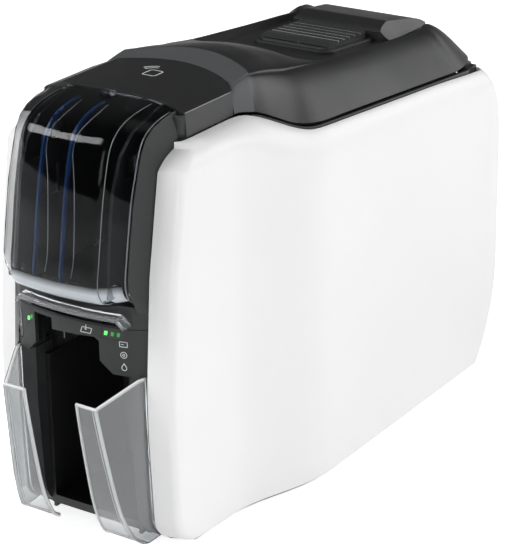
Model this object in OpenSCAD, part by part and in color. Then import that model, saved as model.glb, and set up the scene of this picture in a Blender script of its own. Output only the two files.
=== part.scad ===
// Slim desktop card printer. A narrow front holds the card hopper above the
// output bay; the body flares behind it under a cover that lifts on rear hinges.
// Front faces -Y, +Z is up, millimetres, origin under the middle of the body.

/* [Body] */
// Width across the side covers at the rear
body_w = 155; // [150:1:164]
// Depth from the door and wings to the rear edge
body_d = 356; // [350:1:372]
// Height of the flat top of the hopper cover
hopper_top_z = 243; // [240:1:246]
// Width of the front fascia
fascia_w = 87; // [85:1:92]
// Width of the narrow part of the body
neck_w = 116; // [113:1:122]
// Wall of the white side covers
side_wall = 2.5; // [2:0.1:3]
// Wall of the black covers
lid_wall = 2.5; // [2:0.1:3]
// Height of the rubber feet
foot_h = 3; // [2:0.5:5]
// How far the fascia stands behind the front of the wings
wing_reach = 27.5; // [26:0.5:30]

/* [Cards] */
// Length of a card
card_l = 85.6; // [84:0.2:88]
// Width of a card
card_w = 54; // [52:0.5:55]
// Height of the card stack that the hopper takes
stack_h = 76; // [60:1:78]
// Height of the card path above the table
path_z = 142; // [141:0.5:143]
// Gap between a roller and what it presses a card against
card_gap = 0.8; // [0.6:0.1:1.2]

/* [Drive] */
// Tooth module of the gears
tooth_m = 1.5; // [1.4:0.05:1.55]
// Width of the gears
gear_w = 5; // [4:0.5:6]
// Radius of the drive rollers
roller_r = 8; // [7:0.25:8.5]
// Radius of the pinch rollers above the path
pinch_r = 5; // [4.5:0.25:5.5]
// Radius of the roller shafts
shaft_r = 3; // [2.5:0.25:3.5]
// Thickness of the sheet metal side plates
plate_t = 1.5; // [1.2:0.1:1.8]
// Running clearance of shafts, pins and hubs, on the radius
run_gap = 0.06; // [0.03:0.01:0.09]

/* [Ribbon] */
// Radius of the spool cores
core_r = 7; // [6:0.25:8]
// Radius of the full supply roll
supply_r = 16; // [13:0.5:17]
// Radius of the roll on the take-up core
takeup_r = 10; // [9:0.5:14]

/* [Controls] */
// Travel of the cover release button
release_travel = 3; // [2:0.25:3.5]
// Travel of the power button
power_travel = 1.2; // [0.8:0.1:1.5]
// Length of the release button along the body
release_l = 47; // [40:1:48]
// Width of the release button
release_w = 46; // [40:1:48]
// Number of grip grooves across the release button
groove_count = 5; // [3:1:6]

/* [Hidden] */

$fn = 48;
black = "#26282a";
grey = "#3c3e40";
white = "#f2f2f2";
clear_grey = "#9fb0bc80";
steel = "#b9bcc0";

// Small clearances between neighbouring mouldings
seam = 0.5;
seat = 0.3;

// Front to rear stations
front_y = -body_d / 2;
rear_y = body_d / 2;
fascia_y = front_y + wing_reach;
fascia_half = fascia_w / 2;

// Plan of the side covers
side_front_y = fascia_y - seam;
side_front_x = fascia_half + seam;
bevel_angle = 15;
bevel_r = 5;
neck_slope = 0.035;
flare_start_y = -95;
flare_end_y = -25;
rear_round = 8;
skirt_z = 5.5;

// Rim between the side covers and the black covers
rim_front_x = neck_w / 2 - 11;
rim_rear_x = body_w / 2 - 7.5;
rim_flare_start_y = -78;
rim_flare_end_y = -18;
rim_front_z = hopper_top_z - 18;
rim_rear_z = hopper_top_z - 34;
rear_fall = 0.08;
fall_angle = atan(rear_fall);
fall_start_y = -25;
shoulder_front_z = hopper_top_z - 30;
shoulder_rear_z = hopper_top_z - 56;

function ease(t) = let (c = min(1, max(0, t))) c * c * (3 - 2 * c);
function mix(a, b, t) = a + (b - a) * t;
function reversed(list) = [for (i = [len(list) - 1:-1:0]) list[i]];
function round_back(d, r) = r - sqrt(r * r - pow(min(max(0, d), 0.98 * r), 2));
function fall(y) = rear_fall * max(0, y - fall_start_y);

// How far the front line stands back at a height, and the rear line
function front_lean(z) =
    0.05 * max(0, 70 - z) + 0.085 * max(0, z - 98) + round_back(22 - z, 18) + round_back(z - 198, 24);
function rear_lean(z) = round_back(70 - z, 100) + round_back(z - 150, 80);
function side_x(y) =
    mix(neck_w / 2 + neck_slope * max(0, y - side_front_y), body_w / 2,
        ease((y - flare_start_y) / (flare_end_y - flare_start_y)));
function rim_x(y) =
    mix(rim_front_x, rim_rear_x, ease((y - rim_flare_start_y) / (rim_flare_end_y - rim_flare_start_y)));
function rim_z(y) = mix(rim_front_z, rim_rear_z, ease((y + 70) / 45)) - fall(y);
function shoulder_z(y) = mix(shoulder_front_z, shoulder_rear_z, ease((y + 90) / 56)) - fall(y);

// Helpers for extrusions along the three axes
module along_x(x0, x1) { translate([x0, 0, 0]) rotate([90, 0, 90]) linear_extrude(x1 - x0) children(); }
module along_y(y0, y1) { translate([0, y1, 0]) rotate([90, 0, 0]) linear_extrude(y1 - y0) children(); }
module along_z(z0, z1) { translate([0, 0, z0]) linear_extrude(z1 - z0) children(); }
module rod(y, z, r, x0, x1) { translate([x0, y, z]) rotate([0, 90, 0]) cylinder(r = r, h = x1 - x0); }
module box(low, high) { translate(low) cube(high - low); }
module both_sides() {
    children();
    mirror([1, 0, 0]) children();
}
module round_rect(w, l, r) {
    hull() for (sx = [-1, 1], sy = [-1, 1]) translate([sx * (w / 2 - r), sy * (l / 2 - r)]) circle(r, $fn = 32);
}

// Closed wall between an outer and an inner grid of points
function quad(a, b, c, d) = [[a, c, b], [a, d, c]];
module wall_between(outer, inner) {
    rows = len(outer);
    cols = len(outer[0]);
    n = rows * cols;
    at = function(i, j) i * cols + j;
    polyhedron(
        points = concat([for (row = outer) each row], [for (row = inner) each row]),
        faces = concat(
            [for (i = [0:rows - 2], j = [0:cols - 2])
                each quad(at(i, j), at(i, j + 1), at(i + 1, j + 1), at(i + 1, j))],
            [for (i = [0:rows - 2], j = [0:cols - 2])
                each quad(n + at(i, j), n + at(i + 1, j), n + at(i + 1, j + 1), n + at(i, j + 1))],
            [for (i = [0:rows - 2]) each quad(at(i, 0), at(i + 1, 0), n + at(i + 1, 0), n + at(i, 0))],
            [for (i = [0:rows - 2]) let (j = cols - 1)
                each quad(at(i + 1, j), at(i, j), n + at(i, j), n + at(i + 1, j))],
            [for (j = [0:cols - 2]) each quad(at(0, j + 1), at(0, j), n + at(0, j), n + at(0, j + 1))],
            [for (j = [0:cols - 2]) let (i = rows - 1)
                each quad(at(i, j), at(i, j + 1), n + at(i, j + 1), n + at(i, j))]));
}

// ---- Side covers ----
bevel_cx = neck_w / 2 - bevel_r;
bevel_x = bevel_cx + bevel_r * sin(bevel_angle);
bevel_cy = side_front_y + (bevel_x - side_front_x) * tan(bevel_angle) + bevel_r * cos(bevel_angle);
side_path = concat(
    [[side_front_x, side_front_y], [(side_front_x + bevel_x) / 2, side_front_y + (bevel_x - side_front_x) / 2 * tan(bevel_angle)]],
    [for (a = [bevel_angle - 90:15:0]) [bevel_cx + bevel_r * cos(a), bevel_cy + bevel_r * sin(a)]],
    [for (y = [-138, -125, -110]) if (y > bevel_cy + 2) [side_x(y), y]],
    [for (y = [flare_start_y:5:flare_end_y]) [side_x(y), y]],
    [for (y = [-18, 0, 50, 100, 130, 155]) [side_x(y), y]],
    [for (a = [0:22.5:90])
        [body_w / 2 - rear_round * (1 - cos(a)), rear_y - rear_round * (1 - sin(a))]]);
low_levels = [skirt_z, 8, 12, 17, 23, 40, 70, 98, 130, 160];
shoulder_steps = [0:16:80];
side_levels = len(low_levels) + len([for (a = shoulder_steps) a]);

function path_normal(k) =
    let (a = side_path[max(0, k - 1)], b = side_path[min(len(side_path) - 1, k + 1)], t = b - a)
    [t[1], -t[0]] / norm(t);
function side_angle(j) = j < len(low_levels) ? 0 : 16 * (j - len(low_levels));
// Point of the outer surface at path place k and level j, moved in by depth
function side_point(k, j, depth) =
    let (
        p = side_path[k],
        a = side_angle(j),
        rise = sin(a) / sin(80),
        z = j < len(low_levels) ? low_levels[j] : mix(shoulder_z(p[1]), rim_z(p[1]), rise),
        share = min(1, max(0, (p[0] - side_front_x) / (neck_w / 2 - side_front_x))),
        inset = (side_x(p[1]) - rim_x(p[1])) * (1 - cos(a)) / (1 - cos(80)) * share,
        front_part = 1 - ease((p[1] - side_front_y - 6) / 45),
        rear_part = ease((p[1] - rear_y + 78) / 78),
        n = path_normal(k))
    [p[0] - inset - depth * n[0] * cos(a),
     p[1] + front_lean(z) * front_part - rear_lean(z) * rear_part - depth * n[1] * cos(a),
     z - depth * sin(a)];
module side_cover() {
    ks = [0:len(side_path) - 1];
    wall_between([for (j = [0:side_levels - 1]) [for (k = ks) side_point(k, j, 0)]],
        [for (j = [0:side_levels - 1]) [for (k = ks) side_point(k, j, side_wall)]]);
}
module right_side_cover() { color(white) side_cover(); }
module left_side_cover() { color(white) mirror([1, 0, 0]) side_cover(); }

// Inner wall grid of an outer grid of points, a depth below it
function grid_normal(g, i, j) =
    let (
        a = g[min(len(g) - 1, i + 1)][j] - g[max(0, i - 1)][j],
        b = g[i][min(len(g[0]) - 1, j + 1)] - g[i][max(0, j - 1)],
        n = cross(b, a))
    n / norm(n);
function inset_grid(g, depth) =
    [for (i = [0:len(g) - 1]) [for (j = [0:len(g[0]) - 1]) g[i][j] - depth * grid_normal(g, i, j)]];

// ---- Hopper door: clear moulding that hinges at its foot ----
seam_z = 131;
door_low_z = 145.5;
door_half = fascia_half - 3.5;
door_flat_half = door_half - 13.5;
door_wall = 2;
door_bow = 2.5;
door_pivot = [fascia_y - 7.5, 154];
door_pin_r = 2.2;
rib_x = [-13, 4];
rib_t = 1.2;
// Offset from the fascia and share of the height, as rows down the door: flat front, then side edge
door_front_line = [[37, 0.995], [22.5, 0.985], [10.5, 0.965], [1.5, 0.925], [-5, 0.856], [-9, 0.743],
    [-13.5, 0.55], [-17.5, 0.305], [-20, 0.155], [-19, 0.075], [-15.5, 0.027], [-9.5, 0.003], [-4.5, 0]];
door_edge_line = [[37, 0.962], [24.5, 0.944], [16.5, 0.917], [10.5, 0.877], [6.5, 0.813], [3.3, 0.722],
    [-1.9, 0.55], [-6.5, 0.305], [-8.8, 0.155], [-8.1, 0.091], [-6.5, 0.053], [-4.5, 0.032], [-2, 0.021]];
function door_yz(p) = [fascia_y + p[0], mix(door_low_z, hopper_top_z, p[1])];
function door_point(i, x) =
    let (
        side = max(0, (abs(x) - door_flat_half) / (door_half - door_flat_half)),
        bow = door_bow * max(0, 1 - pow(x / door_flat_half, 2)) * (1 - ease((4 - i) / 4)),
        p = mix(door_yz(door_front_line[i]), door_yz(door_edge_line[i]), side))
    [x, p[0] - bow, p[1]];
door_columns = [for (s = [1, 0.66, 0.33, 0]) -mix(door_flat_half, door_half, s),
    for (s = [-0.75, -0.4, 0, 0.4, 0.75]) s * door_flat_half,
    for (s = [0, 0.33, 0.66, 1]) mix(door_flat_half, door_half, s)];
door_rows = len(door_front_line);
door_grid = [for (i = [door_rows - 1:-1:0]) [for (x = door_columns) door_point(i, x)]];
plate_x = card_w / 2 + 3.5;
ear_x1 = plate_x;
ear_x0 = ear_x1 - 2;
module hopper_door() {
    rib_inner = [[28, 0.945], [6, 0.885], [-2, 0.8], [-2.5, 0.62], [-4, 0.4], [-6, 0.2], [-9, 0.1]];
    ear = [[door_pivot[0], door_pivot[1] + 3], [door_pivot[0] - 6.8, door_pivot[1] + 4],
        [door_pivot[0] - 6.8, door_pivot[1] - 3], [door_pivot[0], door_pivot[1] - 3]];
    rib_outer = [for (i = [door_rows - 4:-1:1]) door_yz(door_front_line[i]) + [door_wall, -0.6]];
    color(clear_grey) {
        difference() {
            wall_between(door_grid, inset_grid(door_grid, door_wall));
            both_sides() box([ear_x0 - 0.4, door_pivot[0] - 6.5, door_low_z - 5],
                [ear_x1 + 0.4, fascia_y + 2, door_low_z + 4.5]);
        }
        for (x = rib_x) along_x(x - rib_t / 2, x + rib_t / 2)
            polygon(concat(rib_outer, [for (p = rib_inner) door_yz(p)]));
        both_sides() {
            along_x(ear_x1 + seat, ear_x1 + seat + 2.5) polygon(ear);
            rod(door_pivot[0], door_pivot[1], 3, ear_x1 + seat, ear_x1 + seat + 2.5);
            rod(door_pivot[0], door_pivot[1], door_pin_r, ear_x0, ear_x1 + 1);
        }
        // Finger catch in the middle of the top edge
        along_y(fascia_y + 31, fascia_y + 36.5) polygon([[-4, hopper_top_z - 0.8], [4, hopper_top_z - 0.8],
            [2.6, hopper_top_z + 0.9], [-2.6, hopper_top_z + 0.9]]);
    }
}

// ---- Card hopper: side walls, floor and back wall behind the door ----
stack_front_y = fascia_y - 1.5;
stack_back_y = stack_front_y + card_l + 1;
hopper_floor_z = path_z + 2.5;
hopper_floor_t = 2;
hopper_wall_top_z = hopper_top_z - lid_wall - 1.8;
module card_hopper() {
    x1 = ear_x1;
    side = [[5, hopper_floor_z], [-4, door_pivot[1] - 4.2], [-9.5, door_pivot[1] - 3.6], [-11.7, door_pivot[1]],
        [-10.8, 162], [-8, 185], [-4.5, 205], [2.5, hopper_top_z - 21], [14, hopper_top_z - 11],
        [33, hopper_wall_top_z - 1], [40, hopper_wall_top_z], [86, hopper_wall_top_z], [86, hopper_floor_z],
        [24, hopper_floor_z], [22, seam_z], [9.3, seam_z], [9.3, hopper_floor_z]];
    color(black) {
        both_sides() difference() {
            along_x(ear_x0, x1) polygon([for (p = side) [fascia_y + p[0], p[1]]]);
            rod(door_pivot[0], door_pivot[1], door_pin_r + run_gap, ear_x0 - 1, x1 + 1);
            rod(pick_y, pick_z, bush_r + 2.3, ear_x0 - 1, x1 + 1);
            for (w = [[4, 209, 11, 11], [22, 216, 9, 9], [14, 186, 12, 17]])
                box([ear_x0 - 1, fascia_y + w[0], w[1]], [x1 + 1, fascia_y + w[0] + w[2], w[1] + w[3]]);
        }
        difference() {
            box([-x1 - 1.5, fascia_y + 4, hopper_floor_z], [x1 + 1.5, fascia_y + 86, hopper_floor_z + hopper_floor_t]);
            box([-card_w / 2 + 8, pick_y - pick_r - 1, hopper_floor_z - 1],
                [card_w / 2 - 8, pick_y + pick_r + 1, hopper_floor_z + 3]);
            both_sides() rod(pick_y, pick_z, bush_r + 2.3, ear_x0 - 1, x1 + 3);
        }
        // Ramp from the single card slot up to the card path
        along_x(-ear_x0, ear_x0) polygon([[fascia_y + 4.5, seam_z], [fascia_y + 22, path_z - 6],
            [fascia_y + 22, path_z - 7.5], [fascia_y + 8, seam_z]]);
        // Back wall, open at its foot where the lowest card leaves
        box([-x1, stack_back_y, hopper_floor_z + 4.5], [x1, stack_back_y + 2, hopper_wall_top_z]);
    }
}

// ---- Fascia: bowed front in two mouldings ----
bow_edge_x = fascia_half - 6.5;
bow_edge_y = fascia_y - 1.5;
bow_rise = 5;
bow_radius = (bow_edge_x * bow_edge_x + bow_rise * bow_rise) / (2 * bow_rise);
function bow_y(x) = bow_edge_y - bow_rise + bow_radius - sqrt(bow_radius * bow_radius - x * x);
// Plan region behind the bowed face, a depth behind it
module behind_bow(depth, back_y) {
    xs = [-bow_edge_x:bow_edge_x / 5:bow_edge_x + 0.01];
    polygon(concat([[-fascia_half + depth, back_y], [-fascia_half + depth, fascia_y + 3 + depth * 0.4]],
        [for (x = xs) [x * (1 - depth / fascia_half), bow_y(x) + depth]],
        [[fascia_half - depth, fascia_y + 3 + depth * 0.4], [fascia_half - depth, back_y]]));
}
fascia_t = 2.5;
slot_w = card_w + 2;
slot_h = 4.5;
band_top_z = door_low_z - 2;
module bowed_shell(z0, z1, back_y) {
    difference() {
        along_z(z0, z1) behind_bow(0, back_y);
        along_z(z0 - 1, z1 + 1) behind_bow(fascia_t, back_y + 1);
    }
}
module upper_fascia() {
    edge = [for (i = [0:door_rows - 1]) door_yz(door_edge_line[i])];
    panel_line = [for (z = [rim_front_z - 5, rim_front_z - 10, rim_front_z - 15, 204, 198, 160, band_top_z])
        [side_front_y + front_lean(z) + 1.2, z]];
    back_y = fascia_y + 36.5;
    color(black) {
        difference() {
            union() {
                bowed_shell(seam_z, band_top_z, fascia_y + 4);
                box([-fascia_half + 1, fascia_y + 2.5, seam_z], [fascia_half - 1, fascia_y + 4.5, hopper_floor_z - 2]);
            }
            box([-slot_w / 2, fascia_y - 20, seam_z + 0.5], [slot_w / 2, fascia_y + 5, seam_z + 0.5 + slot_h]);
            // Chamfer that clears the foot of the open door
            along_x(-fascia_half - 1, fascia_half + 1) polygon([[fascia_y - 7, band_top_z + 1],
                [fascia_y - 7, band_top_z - 4.5], [fascia_y - 2.5, band_top_z + 1]]);
        }
        // Shelf under the floor of the card hopper
        box([-fascia_half + 1, fascia_y + 2.5, hopper_floor_z - 2], [fascia_half - 1, fascia_y + 9, hopper_floor_z]);
        // Side columns, from the door out to the white covers
        both_sides() hull() {
            along_x(door_half + seat, door_half + seat + 0.1)
                polygon(concat([[back_y, band_top_z - 3]], [[back_y, hopper_top_z - 4]],
                    [for (p = edge) if (p[0] < back_y) p], [[fascia_y - 1, band_top_z - 3]]));
            along_x(fascia_half - 0.1, fascia_half)
                polygon(concat([[back_y, band_top_z - 3], [back_y, rim_front_z + 4]], panel_line,
                    [[side_front_y + 4, band_top_z - 3]]));
        }
    }
}

// Front outlines of the lower fascia, power button and light windows
block_low_z = 104;
opening_left_x = -26;
opening_right_x = 17.5;
column_x = card_w / 2 + 4;
column_back_y = fascia_y + 16;
power_w = 6.6;
power_h = 19;
power_gap = 0.3;
power_x = -fascia_half + power_w / 2 + power_gap;
power_z = 118.5;
left_window = [-30, 123.5, 5, 3.4];
right_window = [26, 127, 15, 6];
module power_outline(grow) {
    w = power_w / 2 + grow;
    h = power_h / 2 + grow;
    c = 2.2;
    translate([power_x, power_z])
        polygon([[-w + c, -h], [w - c, -h], [w, -h + c], [w, h - 2 * c], [w - c, h], [-w, h], [-w, -h + c]]);
}
module window_outline(w, grow) {
    translate([w[0], w[1]]) polygon([[-w[2] / 2 - grow, -w[3] / 2 - grow], [w[2] / 2 - 1.5 + grow, -w[3] / 2 - grow],
        [w[2] / 2 + grow, w[3] / 2 + grow], [-w[2] / 2 + 1.5 - grow, w[3] / 2 + grow]]);
}
function column_line(inset, foot_z, top_z) = concat(
    [[column_back_y + (inset > 0 ? 1 : 0), top_z], [column_back_y + (inset > 0 ? 1 : 0), foot_z]],
    [for (z = [foot_z, foot_z + 3, 12, 17, 23, 40, 70, top_z]) [fascia_y + 1 + inset + front_lean(z), z]]);
module lower_fascia() {
    h = fascia_half;
    floor_z = base_z + floor_t;
    left_block = [[-h, seam_z - 2.5], [-h, block_low_z], [opening_left_x - 6, block_low_z],
        [opening_left_x, block_low_z + 6.5], [opening_left_x, seam_z - 2.5]];
    right_block = [[h, seam_z - 2.5], [opening_right_x, seam_z - 2.5], [opening_right_x, block_low_z + 6.5],
        [opening_right_x + 7.5, block_low_z], [h, block_low_z]];
    header = [[-13, seam_z - 2], [-13, seam_z - 9.5], [opening_right_x - 3, seam_z - 7.5],
        [opening_right_x + 1, seam_z - 10], [opening_right_x + 1, seam_z - 2]];
    color(black) {
        difference() {
            union() {
                intersection() {
                    bowed_shell(block_low_z - 1, seam_z, column_back_y);
                    along_y(fascia_y - 20, column_back_y + 1) {
                        polygon(left_block);
                        polygon(right_block);
                        polygon(header);
                        translate([-h, seam_z - 3]) square([fascia_w, 3 - seat]);
                    }
                }
                // Shelves that close the blocks below
                intersection() {
                    along_z(block_low_z, block_low_z + 2) behind_bow(0, column_back_y);
                    union() {
                        box([-h, fascia_y - 10, 0], [opening_left_x - 6, column_back_y, seam_z]);
                        box([opening_right_x + 7.5, fascia_y - 10, 0], [h, column_back_y, seam_z]);
                    }
                }
            }
            along_y(fascia_y - 20, fascia_y + 5) {
                power_outline(power_gap);
                window_outline(left_window, 0.1);
                window_outline(right_window, 0.1);
            }
        }
        // Columns beside the output bay, down to the base
        both_sides() difference() {
            along_x(column_x, h) polygon(column_line(0, floor_z, block_low_z));
            along_x(column_x + 2, h - 2) polygon(column_line(2.5, floor_z + 3, block_low_z - 3));
        }
    }
}

// Clear lip over the single card slot
module feed_lip() {
    half = card_w / 2 + 4;
    color(clear_grey) intersection() {
        difference() {
            along_z(seam_z - 1, band_top_z + 1) behind_bow(-5, fascia_y + 2);
            along_z(seam_z - 2, band_top_z + 2) behind_bow(-0.1, fascia_y + 3);
        }
        along_y(fascia_y - 20, fascia_y) polygon([[-half - 4, seam_z + 1.2], [-half, seam_z + 5], [half, seam_z + 5],
            [half + 4, seam_z + 1.2], [half + 5.2, seam_z + 2.6], [half + 0.8, seam_z + 8], [-half - 0.8, seam_z + 8],
            [-half - 5.2, seam_z + 2.6]]);
    }
}

// ---- Clear wings that hold the printed cards ----
wing_outer_x = fascia_half - 1;
wing_front_x = card_w / 2 + 3.5;
wing_lip_x = 17;
wing_t = 1.8;
wing_top_z = block_low_z - 0.8;
wing_front_z = 93.5;
// Front edge: height from the foot to the front top, offset from the front
wing_front_line = [[24, 8], [17.5, 14], [11.5, 28], [6.5, 52], [2.2, 78], [0, wing_front_z]];
module wing() {
    reach = front_y + 0.2;
    color(clear_grey) {
        intersection() {
            along_z(0, 120) polygon([[wing_outer_x, fascia_y + 20], [wing_outer_x, fascia_y - 1], [wing_front_x, front_y],
                [wing_lip_x, front_y + 2.2], [wing_lip_x, front_y + 2.2 + wing_t], [wing_front_x - 1.1, front_y + wing_t],
                [wing_outer_x - wing_t, fascia_y - 1.4 + wing_t], [wing_outer_x - wing_t, fascia_y + 20]]);
            wing_side(0);
        }
        // Foot that closes the wing below, following its front edge
        intersection() {
            along_z(0, 120) polygon([[wing_outer_x - 0.4, fascia_y + 20], [wing_outer_x - 0.4, fascia_y - 1],
                [wing_front_x - 0.4, front_y + 1], [wing_lip_x, front_y + 3], [wing_lip_x, fascia_y + 20]]);
            difference() {
                wing_side(0);
                wing_side(wing_t);
            }
        }
        // Clips into the column
        for (z = [40, 67]) box([wing_outer_x - wing_t - 2, fascia_y + 0.9 + front_lean(z) - 5, z - 2],
            [wing_outer_x - wing_t + 0.2, fascia_y + 0.9 + front_lean(z) - 0.2, z + 2]);
    }
}
// Side outline of a wing; a lift leaves only what stands above its foot and behind its front
module wing_side(lift) {
    rear = [for (z = [wing_top_z, 70, 40, 23, 17, 11]) [fascia_y + 0.8 + front_lean(z) + (lift > 0 ? 20 : 0), z]];
    front = [for (p = wing_front_line) [front_y + p[0] + lift, p[1] + lift * 0.8]];
    top = lift > 0 ? [[front_y + 2, 130], [fascia_y + 20, 130]] : [[fascia_y - 2, wing_top_z]];
    along_x(0, fascia_w) polygon(concat(rear, [[rear[5][0], 9.5 + lift * 0.8]], front, top));
}
module right_output_wing() { wing(); }
module left_output_wing() { mirror([1, 0, 0]) wing(); }

// ---- Output bay behind the wings ----
bay_top_z = 98;
module output_bay() {
    x0 = card_w / 2 + 1;
    x1 = x0 + 2;
    y0 = fascia_y + 8.5;
    y1 = stack_back_y - 10;
    color(black) {
        both_sides() {
            box([x0, y0, 8], [x1, y1, bay_top_z]);
            box([column_x - 1.5, fascia_y + 8.5, 8], [column_x, fascia_y + 12, bay_top_z]);
            box([x0, y0, base_z + floor_t], [x1, y1, 8]);
        }
        box([-x1, y0, 8], [x1, y1, 10]);
        box([-x1, y1 - 2, 8], [x1, y1, bay_top_z]);
        // Ramp that tips the cards to the back of the bay
        along_x(-x0, x0) polygon([[y0, 10], [y1 - 2, 10], [y1 - 2, 12], [y0 + 20, 10.4], [y0, 13]]);
    }
}

// ---- Base tray and feet ----
base_z = foot_h;
floor_t = 2.5;
tray_wall_z = 17;
tray_front_y = fascia_y + 16.5;
tray_rear_y = rear_y - 28;
tray_gap = 0.4;
module tray_plan() {
    ys = [tray_front_y + 6, for (y = [-110, -95, -85, -75, -65, -55, -45, -35, -25, 20]) if (y > tray_front_y + 8) y, tray_rear_y];
    right = [for (y = ys) [side_x(y) - side_wall - tray_gap, y]];
    polygon(concat([[-fascia_half, tray_front_y], [fascia_half, tray_front_y]], right,
        [for (i = [len(ys) - 1:-1:0]) [-right[i][0], right[i][1]]]));
}
fan_slots = 7;
module base_tray() {
    color(black) {
        difference() {
            along_z(base_z, base_z + floor_t) tray_plan();
            for (i = [0:fan_slots - 1]) box([-60 + i * 6, 70, base_z - 1], [-57 + i * 6, 130, base_z + floor_t + 1]);
        }
        difference() {
            along_z(base_z, tray_wall_z) difference() {
                tray_plan();
                offset(delta = -2) tray_plan();
            }
            // Open in front of the output bay
            box([-column_x + 0.2, tray_front_y - 1, base_z + floor_t], [column_x - 0.2, tray_front_y + 3, 30]);
            both_sides() box([column_x - 1, tray_front_y - 1, base_z + floor_t], [fascia_half + 0.5, tray_front_y + 12, 30]);
        }
    }
}
foot_r = 9;
foot_places = [[34, -100], [58, tray_rear_y - 20]];
module rubber_feet() {
    color("#202020") both_sides() for (p = foot_places) translate([p[0], p[1], 0])
        rotate_extrude() polygon([[0, 0], [foot_r - 1, 0], [foot_r, 1], [foot_r, base_z], [0, base_z]]);
}

// ---- Hopper cover: black top between the door and the lifting cover ----
cover_split = 0.8;
collar_y = fascia_y + 112;
collar_bow = 31.5;
ledge_h = 2.4;
cover_gap = 1.8;
collar_edge_x = rim_x(collar_y - collar_bow) - cover_gap;
hopper_cover_sections = [0, 0.45, 1];
function hopper_cover_point(s, x, z) =
    let (
        back = collar_y - cover_split - collar_bow * pow(x / collar_edge_x, 2),
        y = mix(fascia_y + 37.5, back, s))
    [x, y, z];
hopper_cover_half = [[rim_front_x - 0.8, rim_front_z + 0.4], [rim_front_x - 1.2, rim_front_z + 8],
    [rim_front_x - 2, hopper_top_z - 4.2], [rim_front_x - 3.4, hopper_top_z - 3.2], [28.5, hopper_top_z - 0.6],
    [14, hopper_top_z + 0.1]];
hopper_cover_row = concat([for (i = [0:5]) [-hopper_cover_half[i][0], hopper_cover_half[i][1]]],
    [[0, hopper_top_z + 0.4]], [for (i = [5:-1:0]) hopper_cover_half[i]]);
module hopper_cover() {
    grid = [for (s = hopper_cover_sections) [for (p = hopper_cover_row) hopper_cover_point(s, p[0], p[1])]];
    color(black) wall_between(grid, inset_grid(grid, lid_wall));
}

// ---- Top cover: black lid that lifts on the rear hinges ----
hinge_y = rear_y - 18;
hinge_z = rim_rear_z - 16;
hinge_r = 2.5;
crest_rise = 24;
well_depth = 4.5;
well_half = 42.5;
well_front_y = station(0.224);
well_r = 15;
well_floor_t = 3;
function station(share) = mix(collar_y, rear_y, share);
function crest_z(y) = rim_rear_z + crest_rise - fall(y);
function well_z(y) = crest_z(y) - well_depth;
// The lower edge stands above the ledge of the deck
function ledge(y) = ledge_h * min(1, max(0, (y - collar_y + collar_bow + 2) / 17));
function lid_edge(y) = [rim_x(y) - cover_gap, rim_z(y) + seam + ledge(y)];
// Sections from the collar to the rear edge: y in the middle and at the edge, x and z of the shoulder,
// z in the middle, x and z of the lower edge. Places are shares of the way to the rear
cover_sections = [
    for (s = [[0, -0.1455, 41.5, -6, -3.5], [0.025, -0.1316, 41.5, -2.6, -0.2], [0.058, -0.1132, 41.5, -1.8, 1.6],
            [0.085, -0.0924, 41.5, -3, 1], [0.141, -0.0439, 42, -5.6, -2], [0.182, 0.0115, 43, -8, -4.6],
            [0.215, 0.0855, 43.8, -9.6, -6.2]])
        [station(s[0]), station(s[1]), s[2], hopper_top_z + s[3], hopper_top_z + s[4], each lid_edge(station(s[1]))],
    for (s = [[0.316, 0.224, 2.5], [0.446, 0.409, 1], [0.566, 0.566, 0], [0.695, 0.695, 0], [0.778, 0.778, 0]])
        [station(s[0]), station(s[1]), 44, crest_z(station(s[1])), crest_z(station(s[0])) + s[2],
            each lid_edge(station(s[1]))],
    for (s = [[0.815, 43.5, -10.4, -9.6, 1.8, -9.4], [0.857, 42.5, -12.6, -11.8, 3.5, -9.2],
            [0.898, 41.5, -17.6, -15.6, 7, -9], [0.935, 40, -24.6, -22.6, 13, -9.2], [0.956, 38, -32.6, -31.1, 22, -14.2],
            [0.968, 36, -40.6, -40.1, 28, -21.2]])
        [station(s[0]), station(s[0]), s[1], rim_rear_z + crest_rise + s[2], rim_rear_z + crest_rise + s[3],
            rim_rear_x - s[4], rim_rear_z + s[5]]];
// Half a section as [x, z], from the lower edge to the middle
function lid_half(s) = let (xk = s[2], zk = s[3], zc = s[4], xe = s[5], ze = s[6]) [
    [xe, ze], [mix(xk, xe, 0.7), mix(zk, ze, 0.66) + 0.6], [mix(xk, xe, 0.4), mix(zk, ze, 0.33) + 1],
    [mix(xk, xe, 0.16), mix(zk, ze, 0.1) + 0.5], [xk, zk], [xk - 2.5, mix(zk, zc, 0.3) + 0.2],
    [xk * 0.66, mix(zk, zc, 0.6)], [xk * 0.33, mix(zk, zc, 0.9)]];
function lid_row(s) = let (h = lid_half(s)) [
    for (i = [0:7]) [-h[i][0], mix(s[0], s[1], pow(h[i][0] / s[5], 2)), h[i][1]],
    [0, s[0], s[4]],
    for (i = [7:-1:0]) [h[i][0], mix(s[0], s[1], pow(h[i][0] / s[5], 2)), h[i][1]]];
lid_outer = [for (s = cover_sections) lid_row(s)];
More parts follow.
